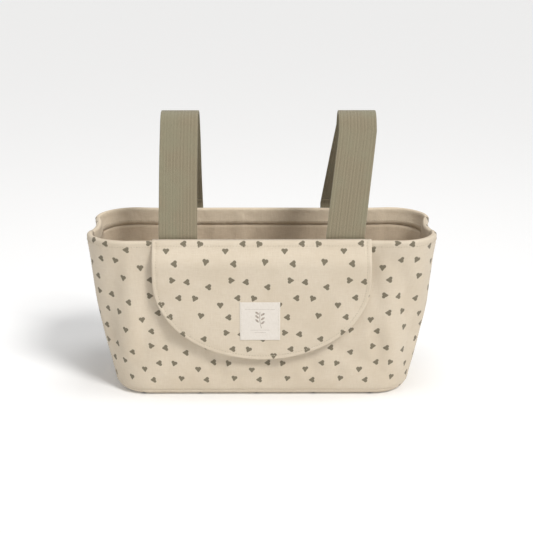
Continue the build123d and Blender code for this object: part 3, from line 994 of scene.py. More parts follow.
declare_dish(base_lining, lining_edge, "laid", "base_board")
facing_edge = facing_outer[:, -2] - out_walls[:, lining_top] * 0.05 * MM
sew("facing_stitching", [loop_closed(facing_edge)], "bag")


# ---- Patch pocket -------------------------------------------------------------------------------
# A D-shaped pocket of the printed canvas, sewn to the front panel by its sides and bottom, with a hem
# turned down twice along its open mouth. It stands a little off the wall.

POCKET_WIDE, POCKET_SIDE = 196 * MM, 22 * MM
POCKET_MOUTH, POCKET_BOTTOM = RIM - 26 * MM, RIM - 109 * MM
POCKET_FRONT = 79.5 * MM
POCKET_SLOPE = 20 * MM
HEM_DEEP = 9 * MM


def depth_on(grid):
    """A rule that gives the depth y of a grid that faces forward or backward, at any x and z."""
    grid = grid if grid[0, 0, 0] < grid[-1, 0, 0] else grid[::-1]
    levels = grid[len(grid) // 2, :, 2]

    def depth(x, z):
        shape = np.shape(x)
        x, z = np.ravel(x), np.ravel(z)
        by_row = np.array([np.interp(x, line[:, 0], line[:, 1]) for line in grid.transpose(1, 0, 2)])
        spot = np.interp(z, levels, np.arange(len(levels)))
        low = np.minimum(spot.astype(int), len(levels) - 2)
        share, every = spot - low, np.arange(len(x))
        return (by_row[low, every] * (1 - share) + by_row[low + 1, every] * share).reshape(shape)

    return depth


front_depth = depth_on(walls[front_columns])
back_depth = depth_on(walls[back_columns])


def tongue_grid(width, straight, length, near, step):
    """Places on a tongue as (x, drop): straight sides, then half an ellipse, closer along its edge."""
    half, deep, near = width / 2, length - straight, np.array(near)
    inner = np.linspace(-1, 1, round(width / step) + 1)
    inner = inner[abs(inner) < 1 - 1.2 * near.max() / half]
    u = np.concatenate(([-1.0], -1 + near / half, inner, 1 - near[::-1] / half, [1.0]))
    v = np.linspace(0, 1, round(deep / step) + 1)[1:]
    v = np.concatenate((v[v < 1 - 1.2 * near.max() / deep], 1 - near[::-1] / deep, [1.0]))
    top = np.linspace(0, straight, round(straight / step) + 1)
    u = u[:, None]
    x = np.hstack((u * half * np.ones(len(top)), half * u * np.sqrt(1 - v**2 / 2)))
    drop = np.hstack((top * np.ones(u.shape), straight + deep * v * np.sqrt(1 - u**2 / 2)))
    return np.stack((x, drop), 2)[:, ::-1]


def drawn_in(flat, width, straight, length, inset):
    """The same places on a tongue whose edge is set in a little."""
    below = np.maximum(flat[..., 1] - straight, 0)
    deep = length - straight
    return np.stack((flat[..., 0] * (1 - 2 * inset / width), flat[..., 1] - below * inset / deep), -1)


def tongue_edge(width, straight, length, inset=0.0):
    """The edge of a tongue from its top left, round the bottom, to its top right, set in by some way."""
    half, deep = width / 2, length - straight
    turn = np.linspace(math.pi, 2 * math.pi, 121)
    curve = np.column_stack((half * np.cos(turn), straight - deep * np.sin(turn)))
    side = np.linspace(0, straight, 12)[:-1]
    left, right = (np.column_stack((np.full(11, x), side)) for x in (-half, half))
    edge = np.concatenate((left, curve, right[::-1]))
    way = np.gradient(edge, axis=0)
    way /= np.linalg.norm(way, axis=1, keepdims=True)
    return edge + np.column_stack((way[:, 1], -way[:, 0])) * inset


def distance_to(edge, flat):
    """How far places on the cloth are from an edge."""
    start, run = edge[:-1], np.diff(edge, axis=0)
    spots = flat.reshape(-1, 1, 2)
    share = np.clip(((spots - start) * run).sum(2) / (run**2).sum(1), 0, 1)
    return np.linalg.norm(spots - start - run * share[..., None], axis=2).min(1).reshape(flat.shape[:-1])


def ease(share):
    """Goes softly from 0 to 1."""
    share = np.clip(share, 0, 1)
    return share * share * (3 - 2 * share)


pocket_size = (POCKET_WIDE, POCKET_SIDE, POCKET_MOUTH - POCKET_BOTTOM)


def on_pocket(flat, lift):
    """Points on the pocket's cloth, lifted off the wall and rounded over its contents."""
    x, z = flat[..., 0], POCKET_MOUTH - flat[..., 1]
    wall = front_depth(x, z)
    inside = np.clip(distance_to(tongue_edge(*pocket_size), flat) / POCKET_SLOPE, 0, 1)
    stand = np.maximum(wall + POCKET_FRONT, 0.6 * MM)
    y = wall - 0.1 * MM - stand * np.sqrt(1 - (1 - inside) ** 2.4)
    hem = ease((HEM_DEEP + 1 * MM - flat[..., 1]) / (1 * MM)) * 0.5 * MM
    stitch_line = np.exp(-(((distance_to(tongue_edge(*pocket_size), flat) - 3 * MM) / (1 * MM)) ** 2))
    y = y - lift - (hem if np.all(lift > 0) else 0) + stitch_line * 0.3 * MM
    return np.stack((x, y, z), -1)


near_edge = np.array((0.5, 1.2, 2.2, 3.0, 3.8, 5.0)) * MM
pocket_flat = tongue_grid(*pocket_size, near_edge, 4 * MM)
pocket_uv = np.stack((pocket_flat[..., 0] + 98.6 * MM, -pocket_flat[..., 1] - 16 * MM), -1)
pocket = seal_sheet(
    on_pocket(pocket_flat, 1.0 * MM), on_pocket(pocket_flat, 0.0 * MM), pocket_uv, "patch_pocket", canvas
)
stand_for(pocket, "pocket_panel", "bag")
declare_cloth(pocket, pocket_flat, "hung", "cover_front")
pocket_line = tongue_edge(*pocket_size, 3 * MM)
mouth_line = np.column_stack((np.linspace(-95, 95, 60) * MM, np.full(60, HEM_DEEP - 1.5 * MM)))
sew("pocket_stitching", [on_pocket(line, 1.1 * MM) for line in (pocket_line, mouth_line)], "bag")


# ---- Flap ---------------------------------------------------------------------------------------
# The printed cover and a plain lining are sewn face to face, turned out over thin foam and topstitched
# near the edge. The flap's top is caught in the rim's seam, and it bends out over the pocket.

FLAP_WIDE, FLAP_SIDE, FLAP_LONG = 227 * MM, 45.6 * MM, 132.6 * MM
FLAP_BACK, FLAP_THICK, FLAP_ROOT_THICK = 82.8 * MM, 3.6 * MM, 1.8 * MM
FLAP_BEND_LOW = RIM - 24 * MM
FLAP_SKIN = 0.9 * MM
EDGE_ROUND = 1.9 * MM
TOPSTITCH_IN = 4.6 * MM
flap_size = (FLAP_WIDE, FLAP_SIDE, FLAP_LONG)


def flap_spine():
    """The flap's middle line from the rim's crest: over the roll, out over the pocket, then down."""
    radius = ROLL + FLAP_ROOT_THICK / 2 + 0.1 * MM
    middle_y, middle_z = -TOP_SIZE[1] / 2 + ROLL, RIM - ROLL
    turn = np.linspace(math.pi / 2, math.pi, 20)
    over = np.column_stack((middle_y + radius * np.cos(turn), middle_z + radius * np.sin(turn)))
    share = np.linspace(0, 1, 60)[1:]
    reach = -(FLAP_BACK + FLAP_THICK / 2) - over[-1, 0]
    out_z = middle_z + (FLAP_BEND_LOW - middle_z) * share
    out = np.column_stack((over[-1, 0] + reach * ease(share), out_z))
    z = np.linspace(FLAP_BEND_LOW, 30 * MM, 120)[1:]
    lean_back = ease((100 * MM - z) / (70 * MM)) * 5.5 * MM
    down = np.column_stack((out[-1, 0] + lean_back, z))
    line = np.concatenate((over, out, down))
    along = np.concatenate(([0], np.cumsum(np.linalg.norm(np.diff(line, axis=0), axis=1))))
    way = np.gradient(line, along, axis=0)
    return along, line, way


flap_along, flap_line, flap_way = flap_spine()
front_rim = walls[front_columns, -1]


def on_flap(flat, lift):
    """Points on the flap, lifted off its middle surface towards the front."""
    x, drop = flat[..., 0], flat[..., 1]
    y, z, way_y, way_z = (
        np.interp(drop, flap_along, column) for column in (*flap_line.T, *flap_way.T)
    )
    out_y, out_z = way_z, -way_y
    rim_off = np.interp(x, front_rim[:, 0], front_rim[:, 1]) + TOP_SIZE[1] / 2
    y = y + rim_off * (1 - ease(drop / (50 * MM)))
    swell = waves(12, flat, (0.07, 0.12, 0.2), 1.0) * 1.3 * MM * ease((drop - 15 * MM) / (60 * MM))
    swell *= 0.25 + 0.75 * ease((np.hypot(x + 2 * MM, drop - 88 * MM) - 22 * MM) / (30 * MM))
    curl = ease((abs(x) / (FLAP_WIDE / 2) - 0.62) / 0.38) * ease((drop - 10 * MM) / (70 * MM)) * 2.2 * MM
    y = y + curl
    return np.stack((x, y + out_y * (lift + swell), z + out_z * (lift + swell)), -1)


def flap_half(flat):
    """Half the flap's thickness: round at its edge, pulled in by the topstitching, thin at its root."""
    inside = distance_to(tongue_edge(*flap_size), flat)
    thick = FLAP_ROOT_THICK + (FLAP_THICK - FLAP_ROOT_THICK) * ease((flat[..., 1] - 6 * MM) / (14 * MM))
    half = thick / 2 * np.sqrt(1 - (1 - np.clip(inside / EDGE_ROUND, 0, 1)) ** 2)
    return half - 0.34 * MM * np.exp(-(((inside - TOPSTITCH_IN) / (1.3 * MM)) ** 2))


flap_near = np.array((0.15, 0.45, 0.9, 1.5, 2.2, 3.0, 3.8, 4.6, 5.4, 6.4, 8.0)) * MM
flap_flat = tongue_grid(*flap_size, flap_near, 3.2 * MM)
flap_inset = drawn_in(flap_flat, *flap_size, FLAP_SKIN)
flap_uv = np.stack((flap_flat[..., 0] + 98.6 * MM, 13 * MM - flap_flat[..., 1]), -1)
outer_half, inset_half = flap_half(flap_flat), flap_half(flap_inset)
flap_cover = seal_sheet(
    on_flap(flap_flat, outer_half),
    on_flap(flap_inset, np.maximum(inset_half - FLAP_SKIN, 0.05 * MM)),
    flap_uv,
    "flap_front_cloth",
    canvas,
)
flap_lining = seal_sheet(
    on_flap(flap_inset, -np.maximum(inset_half - 0.7 * MM, 0.05 * MM)),
    on_flap(flap_flat, -outer_half),
    flap_uv,
    "flap_back_cloth",
    plain_canvas,
)
foam_margin, foam_top = 3.2 * MM, 9 * MM
foam_flat = tongue_grid(
    FLAP_WIDE - 2 * foam_margin, FLAP_SIDE - foam_top, FLAP_LONG - foam_top - foam_margin, near_edge, 5 * MM
)
foam_flat[..., 1] += foam_top
foam_half = flap_half(foam_flat)
flap_foam = seal_sheet(
    on_flap(foam_flat, np.maximum(foam_half - FLAP_SKIN - 0.05 * MM, 0.03 * MM)),
    on_flap(foam_flat, -np.maximum(foam_half - 0.75 * MM, 0.03 * MM)),
    foam_flat,
    "flap_foam",
    foam,
)
FLAP_BEND = {"start": (0, -0.0726, 0.1762), "end": (0, -0.0772, 0.1692)}
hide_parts("flap_cover")
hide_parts("flap_lining")
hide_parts("flap_padding")
flap_pieces = ((flap_cover, "cover_cloth"), (flap_lining, "lining_cloth"), (flap_foam, "wadding"))
for piece, finish_slot in flap_pieces:
    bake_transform(piece)
for piece in (flap_cover, flap_lining):
    declare_cloth(piece, flap_flat, "hung", "rim_facing_strip")


def sew_across(
    name, lines, finish=thread, slot="cover_cloth", bodies=("bag", "flap"), bend=FLAP_BEND, **sizes
):
    """Stitches on the flap, with their place baked into the mesh."""
    piece = stitches_along(name, lines, finish, **sizes)
    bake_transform(piece)
    return piece


topstitch = tongue_edge(*flap_size, TOPSTITCH_IN)
topstitch = topstitch[topstitch[:, 1] > 3 * MM]
sew_across(
    "flap_topstitching",
    [on_flap(topstitch, side * (flap_half(topstitch) + 0.05 * MM)) for side in (1, -1)],
)
rim_join = np.column_stack((np.linspace(-108, 108, 90) * MM, np.full(90, 7.4 * MM)))
sew_across("flap_rim_stitching", [on_flap(rim_join, flap_half(rim_join) + 0.05 * MM)])


# ---- Woven label --------------------------------------------------------------------------------
# A square of ivory damask label, its top and bottom folded under, sewn on by all four sides. A small
# sprig and three fine rules are woven into it.

LABEL_WIDE, LABEL_THICK, LABEL_X = 42 * MM, 0.6 * MM, -2 * MM
LABEL_Z = RIM - 83 * MM
LABEL_IVORY, LABEL_SHADE, LABEL_INK = linear(230, 223, 214), linear(222, 214, 203), linear(136, 118, 102)


# The sprig's leaves, as (height in mm, side of the stem, tilt in radians).
SPRIG_LEAVES = (
    (-3, 1, 0.7), (-1, -1, 0.75), (1.5, 1, 0.7), (3.5, -1, 0.75), (6, 1, 0.6), (7.5, -1, 0.6),
)


def label_weave():
    """Satin ground in fine ribs, with the sprig and the rules in a taupe weft."""
    finish, shader, dye = finish_named("label_damask", 0.62, sheen=0.25)
    place = on_cloth(dye)
    x, y = place.part("X"), place.part("Y")
    ribs = x.math("SINE", x * (2 * math.pi / 0.42))
    picks = y.math("SINE", y * (2 * math.pi / 0.6))
    tone = noise(place, 0.5, 3.0, 0.6, (1.0, 0.6, 1.0)).fade(0.2, 0.8) * 0.7 + ribs * 0.06 + 0.2
    ground = tone.blend(LABEL_SHADE, LABEL_IVORY)

    def near(value, middle, half, soft=0.12):
        away = value.math("ABSOLUTE", value - middle)
        return away.fade(half - soft, half + soft, 1.0, 0.0)

    stem = near(x + y * 0.12 - (y * y) * 0.012, 0.0, 0.34) * near(y, 1.5, 9.0)
    drawn = stem
    for height, side, tilt in SPRIG_LEAVES:
        reach_x, reach_y = side * 3.0, height + 1.8
        along_x = (x - reach_x) * math.cos(tilt) * side + (y - reach_y) * math.sin(tilt)
        cross_x = (y - reach_y) * math.cos(tilt) - (x - reach_x) * math.sin(tilt) * side
        leaf = (along_x * along_x) / 6.2 + (cross_x * cross_x) / 1.2
        drawn = drawn.math("MAXIMUM", drawn, leaf.fade(0.7, 1.15, 1.0, 0.0))
    for height, half in ((13.5, 15.5), (-9.5, 10.0), (-12.2, 6.0)):
        drawn = drawn.math("MAXIMUM", drawn, near(y, height, 0.16, 0.08) * near(x, 0.0, half) * 0.8)
    threads = noise(place, 1.8, 2.0, 0.5, (1.0, 0.3, 1.0)).fade(0.25, 0.65, 0.45, 1.0)
    colour = (drawn * threads * 0.85).blend(ground, LABEL_INK)
    finish.node_tree.links.new(colour.socket, shader.inputs["Base Color"])
    finish.node_tree.links.new((0.55 + ribs * 0.08 + drawn * 0.1).socket, shader.inputs["Roughness"])
    raise_surface(shader, ribs * 0.35 + picks * 0.35 + drawn * 0.6, 0.00012, 0.8)
    return finish


def on_label(flat, lift):
    """Points on the label, which lies on the flap's front."""
    label_drop = np.interp(-LABEL_Z, -flap_line[:, 1], flap_along)
    spot = np.stack((flat[..., 0] + LABEL_X, label_drop - flat[..., 1]), -1)
    return on_flap(spot, flap_half(spot) + 0.05 * MM + lift)


side = LABEL_WIDE / 2
label_inner = np.linspace(-side + 1 * MM, side - 1 * MM, 21)
label_steps = np.concatenate(([-side, -side + 0.3 * MM], label_inner, [side - 0.3 * MM, side]))
label_flat = np.stack(np.meshgrid(label_steps, label_steps, indexing="ij"), 2)
rim_gap = side - abs(label_flat).max(2)
fold = ease((5.5 * MM - (side - abs(label_flat[..., 1]))) / (0.8 * MM)) * 0.25 * MM
label_top = (LABEL_THICK - 0.25 * MM + fold) * np.sqrt(1 - (1 - np.clip(rim_gap / (0.4 * MM), 0, 1)) ** 2)
label_top = label_top + 0.12 * MM
label_top -= np.exp(-(((rim_gap - 1.7 * MM) / (0.6 * MM)) ** 2)) * 0.12 * MM
label_flat_points = on_label(label_flat, label_top)
label = seal_sheet(
    label_flat_points, on_label(label_flat, 0.0), label_flat, "woven_label_cloth", label_weave()
)
stand_for(label, "woven_label", "flap")
declare_cloth(label, label_flat, "laid", "flap_front_cloth")
inset = side - 1.7 * MM
square = np.array([(-inset, -inset), (inset, -inset), (inset, inset), (-inset, inset), (-inset, -inset)])
square = np.concatenate([np.linspace(a, b, 24) for a, b in zip(square[:-1], square[1:])])
ivory_thread = sewing_thread("ivory_thread", linear(228, 219, 204))
label_path = on_label(square, LABEL_THICK - 0.15 * MM)
label_line = stitches_along(
    "label_stitching", [label_path], ivory_thread, pitch=2.2 * MM, length=1.6 * MM, radius=0.2 * MM
)
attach(label_line, "flap")


# ---- Magnetic snap ------------------------------------------------------------------------------
# Two pressed and plated discs: a socket on the pocket and a stud on the back of the flap. The prongs
# of each are bent over a plate behind the cloth.


def snap_metal():
    finish, shader, dye = finish_named("plated_snap", 0.28, metallic=1.0)
    grain = dye.node("ShaderNodeTexCoord", out=3)
    rubbed = dye.node("ShaderNodeTexNoise", (), {"Vector": grain, "Scale": 260.0, "Detail": 5.0})
    colour = rubbed.fade(0.3, 0.7).blend(linear(186, 178, 160), linear(206, 199, 184))
    finish.node_tree.links.new(colour.socket, shader.inputs["Base Color"])
    finish.node_tree.links.new(rubbed.fade(0.25, 0.75, 0.2, 0.42).socket, shader.inputs["Roughness"])
    raise_surface(shader, rubbed, 0.00006, 0.5)
    return finish


plated = snap_metal()


def turned(name, profile, start_y, way, finish, body, around=48):
    """A disc turned about a line through the snap's middle, from (radius, height) points."""
    profile = np.array(profile) * MM
    turn = np.linspace(0, 2 * math.pi, around, endpoint=False)
    rings = [
        np.column_stack((r * np.cos(turn), np.full(around, start_y + way * h), LABEL_Z + r * np.sin(turn)))
        for r, h in profile
    ]
    index = np.arange(len(profile) * around).reshape(len(profile), around)
    closed = np.concatenate((index, index[:1])) if profile[0, 0] > 0 else index
    faces = np.stack(
        (closed[:-1], np.roll(closed[:-1], -1, 1), np.roll(closed[1:], -1, 1), closed[1:]), 2
    ).reshape(-1, 4)
    piece = make_piece(name, np.concatenate(rings), faces, finish)
    weld(piece, 0.001 * MM)
    piece.data.set_sharp_from_angle(angle=math.radians(40))
    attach(piece, body)
    return piece


socket_profile = (
    (3.6, 0.0), (8.7, 0.0), (8.95, 0.25), (8.95, 0.75), (8.6, 1.2), (7.9, 1.45), (7.0, 1.5), (6.4, 1.35),
    (6.0, 1.1), (4.9, 1.1), (4.4, 1.3), (3.9, 1.3), (3.6, 1.05),
)
stud_profile = (
    (0.0, 0.0), (8.7, 0.0), (8.95, 0.25), (8.95, 0.8), (8.6, 1.2), (7.8, 1.45), (6.2, 1.5), (5.4, 1.25),
    (3.6, 1.25), (3.0, 1.6), (2.95, 2.2), (2.6, 2.5), (1.4, 2.6), (0.0, 2.6),
)
socket = turned("snap_socket_disc", socket_profile, -POCKET_FRONT - 0.01 * MM, -1, plated, "bag")
stud = turned("snap_stud_disc", stud_profile, -FLAP_BACK - 0.01 * MM, 1, plated, "flap")
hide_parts("snap_socket")
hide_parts("snap_stud")
for name in ("snap_socket_plate", "snap_stud_plate"):
    plate = frame["nodes"][name]
    plate.data.materials.clear()
    plate.data.materials.append(plated)


# ---- Webbing loops ------------------------------------------------------------------------------
# One length of olive cotton webbing each side. Its end is sewn inside the front wall, it goes up and
# over the handlebar, and its other end comes down outside the back wall, where hook tape holds it.

WEB_WIDE, WEB_THICK = 40 * MM, 1.8 * MM
LOOP_X = {"left": -87 * MM, "right": 87 * MM}
LOOP_LEAN = {"left": 0.0, "right": 14 * MM}
joint_at = {joint["name"]: np.array(joint["pos_m"]) for joint in frame["joints"]}
FRONT_FOLD, REAR_FOLD = joint_at["left_strap_swing"][1:], joint_at["left_strap_peel"][1:]
BAR_RADIUS = 17 * MM
loop_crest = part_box("left_strap_loop")[1].z
BAR = np.array((FRONT_FOLD[0] + REAR_FOLD[0], 2 * (loop_crest - WEB_THICK - BAR_RADIUS))) / 2
ROOT_LOW, TAIL_LONG, TAIL_STAND = RIM - 34 * MM, 64 * MM, 3.6 * MM
RIB_PITCH, RIB_DEEP = 2.5 * MM, 0.16 * MM
OLIVE, OLIVE_DARK, OLIVE_GREEN = linear(151, 140, 116), linear(127, 117, 94), linear(140, 136, 112)


def webbing_weave():
    """A ribbed cotton webbing: warp ribs along it, a fine diagonal between them and firm edges."""
    finish, shader, dye = finish_named("olive_webbing", 0.78, sheen=0.35)
    place = on_cloth(dye)
    x, y = place.part("X"), place.part("Y")
    pitch = RIB_PITCH / MM
    rib = x.math("COSINE", x * (2 * math.pi / pitch))
    twill = x.math("SINE", (x * 1.2 + y) * (2 * math.pi / 0.9))
    yarn = noise(place, 1.1, 3.0, 0.6, (1.0, 0.3, 1.0)).fade(0.3, 0.7)
    speck = noise(place, 2.6, 2.0, 0.6).fade(0.3, 0.7)
    bands = x.math("COSINE", x * (2 * math.pi / 3.6))
    share = yarn * 0.2 + speck * 0.16 + rib * -0.12 + twill * 0.05 + 0.34 + bands * 0.22
    body = share.blend(OLIVE_DARK, OLIVE)
    body = noise(place, 0.03, 2.0).fade(0.3, 0.7, 0.0, 0.6).blend(body, OLIVE_GREEN)
    finish.node_tree.links.new(body.socket, shader.inputs["Base Color"])
    finish.node_tree.links.new((0.74 + yarn * 0.1).socket, shader.inputs["Roughness"])
    raise_surface(shader, twill * 0.5 + speck * 0.6 + yarn * 0.5, 0.0002, 0.8)
    return finish


olive_web = webbing_weave()


def loop_path(x, lean):
    """The webbing's middle line: up the front wall, over the bar and down the back, then its lean."""
    radius = BAR_RADIUS + WEB_THICK / 2

    def tangent(fold, way):
        across, up = abs(BAR[0] - fold[0]), BAR[1] - fold[1]
        angle = math.atan2(across, up) - (math.pi / 2 - math.acos(radius / math.hypot(across, up)))
        return angle, BAR + radius * np.array((way * math.cos(angle), math.sin(angle)))

    front_angle, front_touch = tangent(FRONT_FOLD, -1)
    rear_angle, rear_touch = tangent(REAR_FOLD, 1)
    slope = (TOP_SIZE[1] - BASE_SIZE[1]) / 2 / RIM
    root_low = FRONT_FOLD + np.array((slope * (RIM - ROOT_LOW), ROOT_LOW - FRONT_FOLD[1]))
    turn = np.linspace(math.pi - front_angle, rear_angle, 60)
    over = BAR + radius * np.column_stack((np.cos(turn), np.sin(turn)))
    down = np.array((-slope, -1)) / math.hypot(slope, 1)
    tail_start = np.array((TOP_SIZE[1] / 2 + TAIL_STAND, RIM - 1 * MM))
    corners = [root_low, FRONT_FOLD, front_touch]
    rising = np.concatenate([np.linspace(a, b, 80)[:-1] for a, b in zip(corners[:-1], corners[1:])])
    falling = [np.linspace(rear_touch, REAR_FOLD, 80)[1:], np.linspace(REAR_FOLD, tail_start, 6)[1:]]
    falling.append(np.linspace(tail_start, tail_start + down * TAIL_LONG, 60)[1:])
    line = np.concatenate((rising, over, *falling))
    along = np.concatenate(([0], np.cumsum(np.linalg.norm(np.diff(line, axis=0), axis=1))))
    even = np.arange(0, along[-1], 0.5 * MM)
    line = np.column_stack([np.interp(even, along, column) for column in line.T])
    soft = np.hanning(19) / np.hanning(19).sum()
    padded_line = np.pad(line, ((9, 9), (0, 0)), mode="reflect", reflect_type="odd")
    line = np.column_stack([np.convolve(column, soft, "valid") for column in padded_line.T])
    height = np.clip((line[:, 1] - FRONT_FOLD[1]) / (BAR[1] - FRONT_FOLD[1]), 0, 1)
    return even, line, x + lean * height


def wall_shift(x, line):
    """How far the real rim or wall stands from the plain one, where the webbing touches it."""
    rim_off = np.interp(x, front_rim[:, 0], front_rim[:, 1]) + TOP_SIZE[1] / 2
    z = line[:, 1]
    front = rim_off * (1 - ease((z - RIM) / (40 * MM)))
    plain = TOP_SIZE[1] / 2 - (TOP_SIZE[1] - BASE_SIZE[1]) / 2 * (RIM - z) / RIM
    bulge = back_depth(np.full(len(z), x), np.minimum(z, RIM - 3 * MM)) - plain
    low = z < RIM
    push = np.maximum(bulge[low & (line[:, 0] > 0)].max(), 0)
    back = push * (1 - ease((z - RIM) / (60 * MM)))
    return np.where(line[:, 0] < 0, front, back)


def loop_on_walls(side):
    """A loop's line as it lies on the real walls: how far along, where, which way and how far across."""
    even, line, middle_x = loop_path(LOOP_X[side], LOOP_LEAN[side])
    shift = wall_shift(LOOP_X[side], line)
    line = line + np.column_stack((shift, np.zeros(len(shift))))
    way = np.gradient(line, axis=0)
    way /= np.linalg.norm(way, axis=1, keepdims=True)
    return even, line, way, middle_x


def webbing_strip(name, side, first, last):
    """Part of a loop, from first to last along it: ribs across, and soft woven edges."""
    even, line, way, middle_x = loop_on_walls(side)
    start, stop = int(np.argmin(abs(even - first))), int(np.argmin(abs(even - last)))
    picks = np.unique(np.append(np.arange(start, stop, 4), stop))
    half = WEB_WIDE / 2
    inner = np.arange(-half + 1.25 * MM, half - 1.2 * MM, RIB_PITCH / 4)
    near_edges = np.array((0.0, 0.25, 0.7)) * MM
    across = np.concatenate((-half + near_edges, inner, (half - near_edges)[::-1]))
    edge = np.clip((half - abs(across)) / (0.9 * MM), 0, 1)
    ribs = RIB_DEEP * (0.5 - 0.5 * np.cos(2 * math.pi * across / RIB_PITCH))
    thick = WEB_THICK / 2 * np.sqrt(1 - (1 - edge) ** 2) - ribs * (edge >= 1)
    wander = 0.35 * MM * np.sin(even[picks] / (31 * MM) + (1 if side == "left" else 3))
    sides = []
    for way_out in (1, -1):
        lift = thick[:, None] * way_out
        sides.append(
            np.stack(
                (
                    across[:, None] + middle_x[picks] + wander,
                    line[picks, 0] - way[picks, 1] * lift,
                    line[picks, 1] + way[picks, 0] * lift,
                ),
                2,
            )
        )
    uv = np.stack(np.meshgrid(across + (0.02 if side == "right" else 0.0), even[picks], indexing="ij"), 2)
    piece = seal_sheet(sides[0], sides[1], uv, name, olive_web)
    length = float(even[picks[-1]] - even[picks[0]])
    return piece


def on_webbing(side, places, lift):
    """Points on a loop from (across, along) places, lifted off its outer face, or inner if negative."""
    even, line, way, middle_x = loop_on_walls(side)
    x, y, z, way_y, way_z = (
        np.interp(places[:, 1], even, column) for column in (middle_x, *line.T, *way.T)
    )
    off = WEB_THICK / 2 * np.sign(lift) + lift
    return np.column_stack((x + places[:, 0], y - way_z * off, z + way_y * off))


def box_with_cross(low, high, half, cross=True):
    """The stitch line of a sewn-down end: a box, and a cross in it."""
    corners = [(-half, low), (half, low), (half, high), (-half, high), (-half, low)]
    lines = [corners] + ([[(-half, low), (half, high)], [(half, low), (-half, high)]] if cross else [])
    fine = []
    for line in np.array(lines, dtype=object):
        line = np.array(line, float)
        fine.append(np.concatenate([np.linspace(a, b, 20) for a, b in zip(line[:-1], line[1:])]))
    return fine


REAR_SPLIT = RIM + 9.5 * MM
for side in LOOP_X:
    even, line, _ = loop_path(LOOP_X[side], LOOP_LEAN[side])
    split = even[np.nonzero((line[:, 0] > 0) & (line[:, 1] > REAR_SPLIT))[0][-1]]
    upper = webbing_strip(f"{side}_loop_webbing", side, 0, split)
    lower = webbing_strip(f"{side}_loop_end_webbing", side, split, even[-1])
    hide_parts(f"{side}_strap_root", f"{side}_strap_loop")
    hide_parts(f"{side}_strap_tail")
    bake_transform(upper)
    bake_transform(lower)
    root_box = box_with_cross(4 * MM, 27 * MM, 16 * MM)
    tail_top = even[-1] - TAIL_LONG + 14 * MM
    tail_box = box_with_cross(tail_top, tail_top + 42 * MM, 15.5 * MM, cross=False)
    sewn = stitches_along(
        f"{side}_root_stitching", [on_webbing(side, part, -0.05 * MM) for part in root_box], olive_thread
    )
    tail_sewn = stitches_along(
        f"{side}_end_stitching", [on_webbing(side, part, 0.05 * MM) for part in tail_box], olive_thread
    )
    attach(sewn, "bag")
    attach(tail_sewn, f"{side}_strap_end")


# ---- Hook and loop tapes ------------------------------------------------------------------------
# A square of soft loop tape is sewn to the back wall, and a square of hook tape to the end of each
# webbing loop. Both are woven nylon with their edges sewn down.

TAPE_WIDE, TAPE_LONG, TAPE_DROP = 34 * MM, 46 * MM, 12 * MM
TAPE_BASE = 0.45 * MM
TAPE_BEIGE = linear(150, 141, 118)


def tape_nylon():
    finish, shader, dye = finish_named("tape_nylon", 0.6, sheen=0.3)
    grain = dye.node("ShaderNodeTexCoord", out=3)
    uneven = dye.node("ShaderNodeTexNoise", (), {"Vector": grain, "Scale": 420.0, "Detail": 3.0})
    colour = uneven.fade(0.3, 0.7).blend(linear(132, 124, 102), TAPE_BEIGE)
    finish.node_tree.links.new(colour.socket, shader.inputs["Base Color"])
    finish.node_tree.links.new(uneven.fade(0.3, 0.7, 0.5, 0.72).socket, shader.inputs["Roughness"])
    raise_surface(shader, uneven, 0.00012, 0.7)
    return finish


tape_finish = tape_nylon()


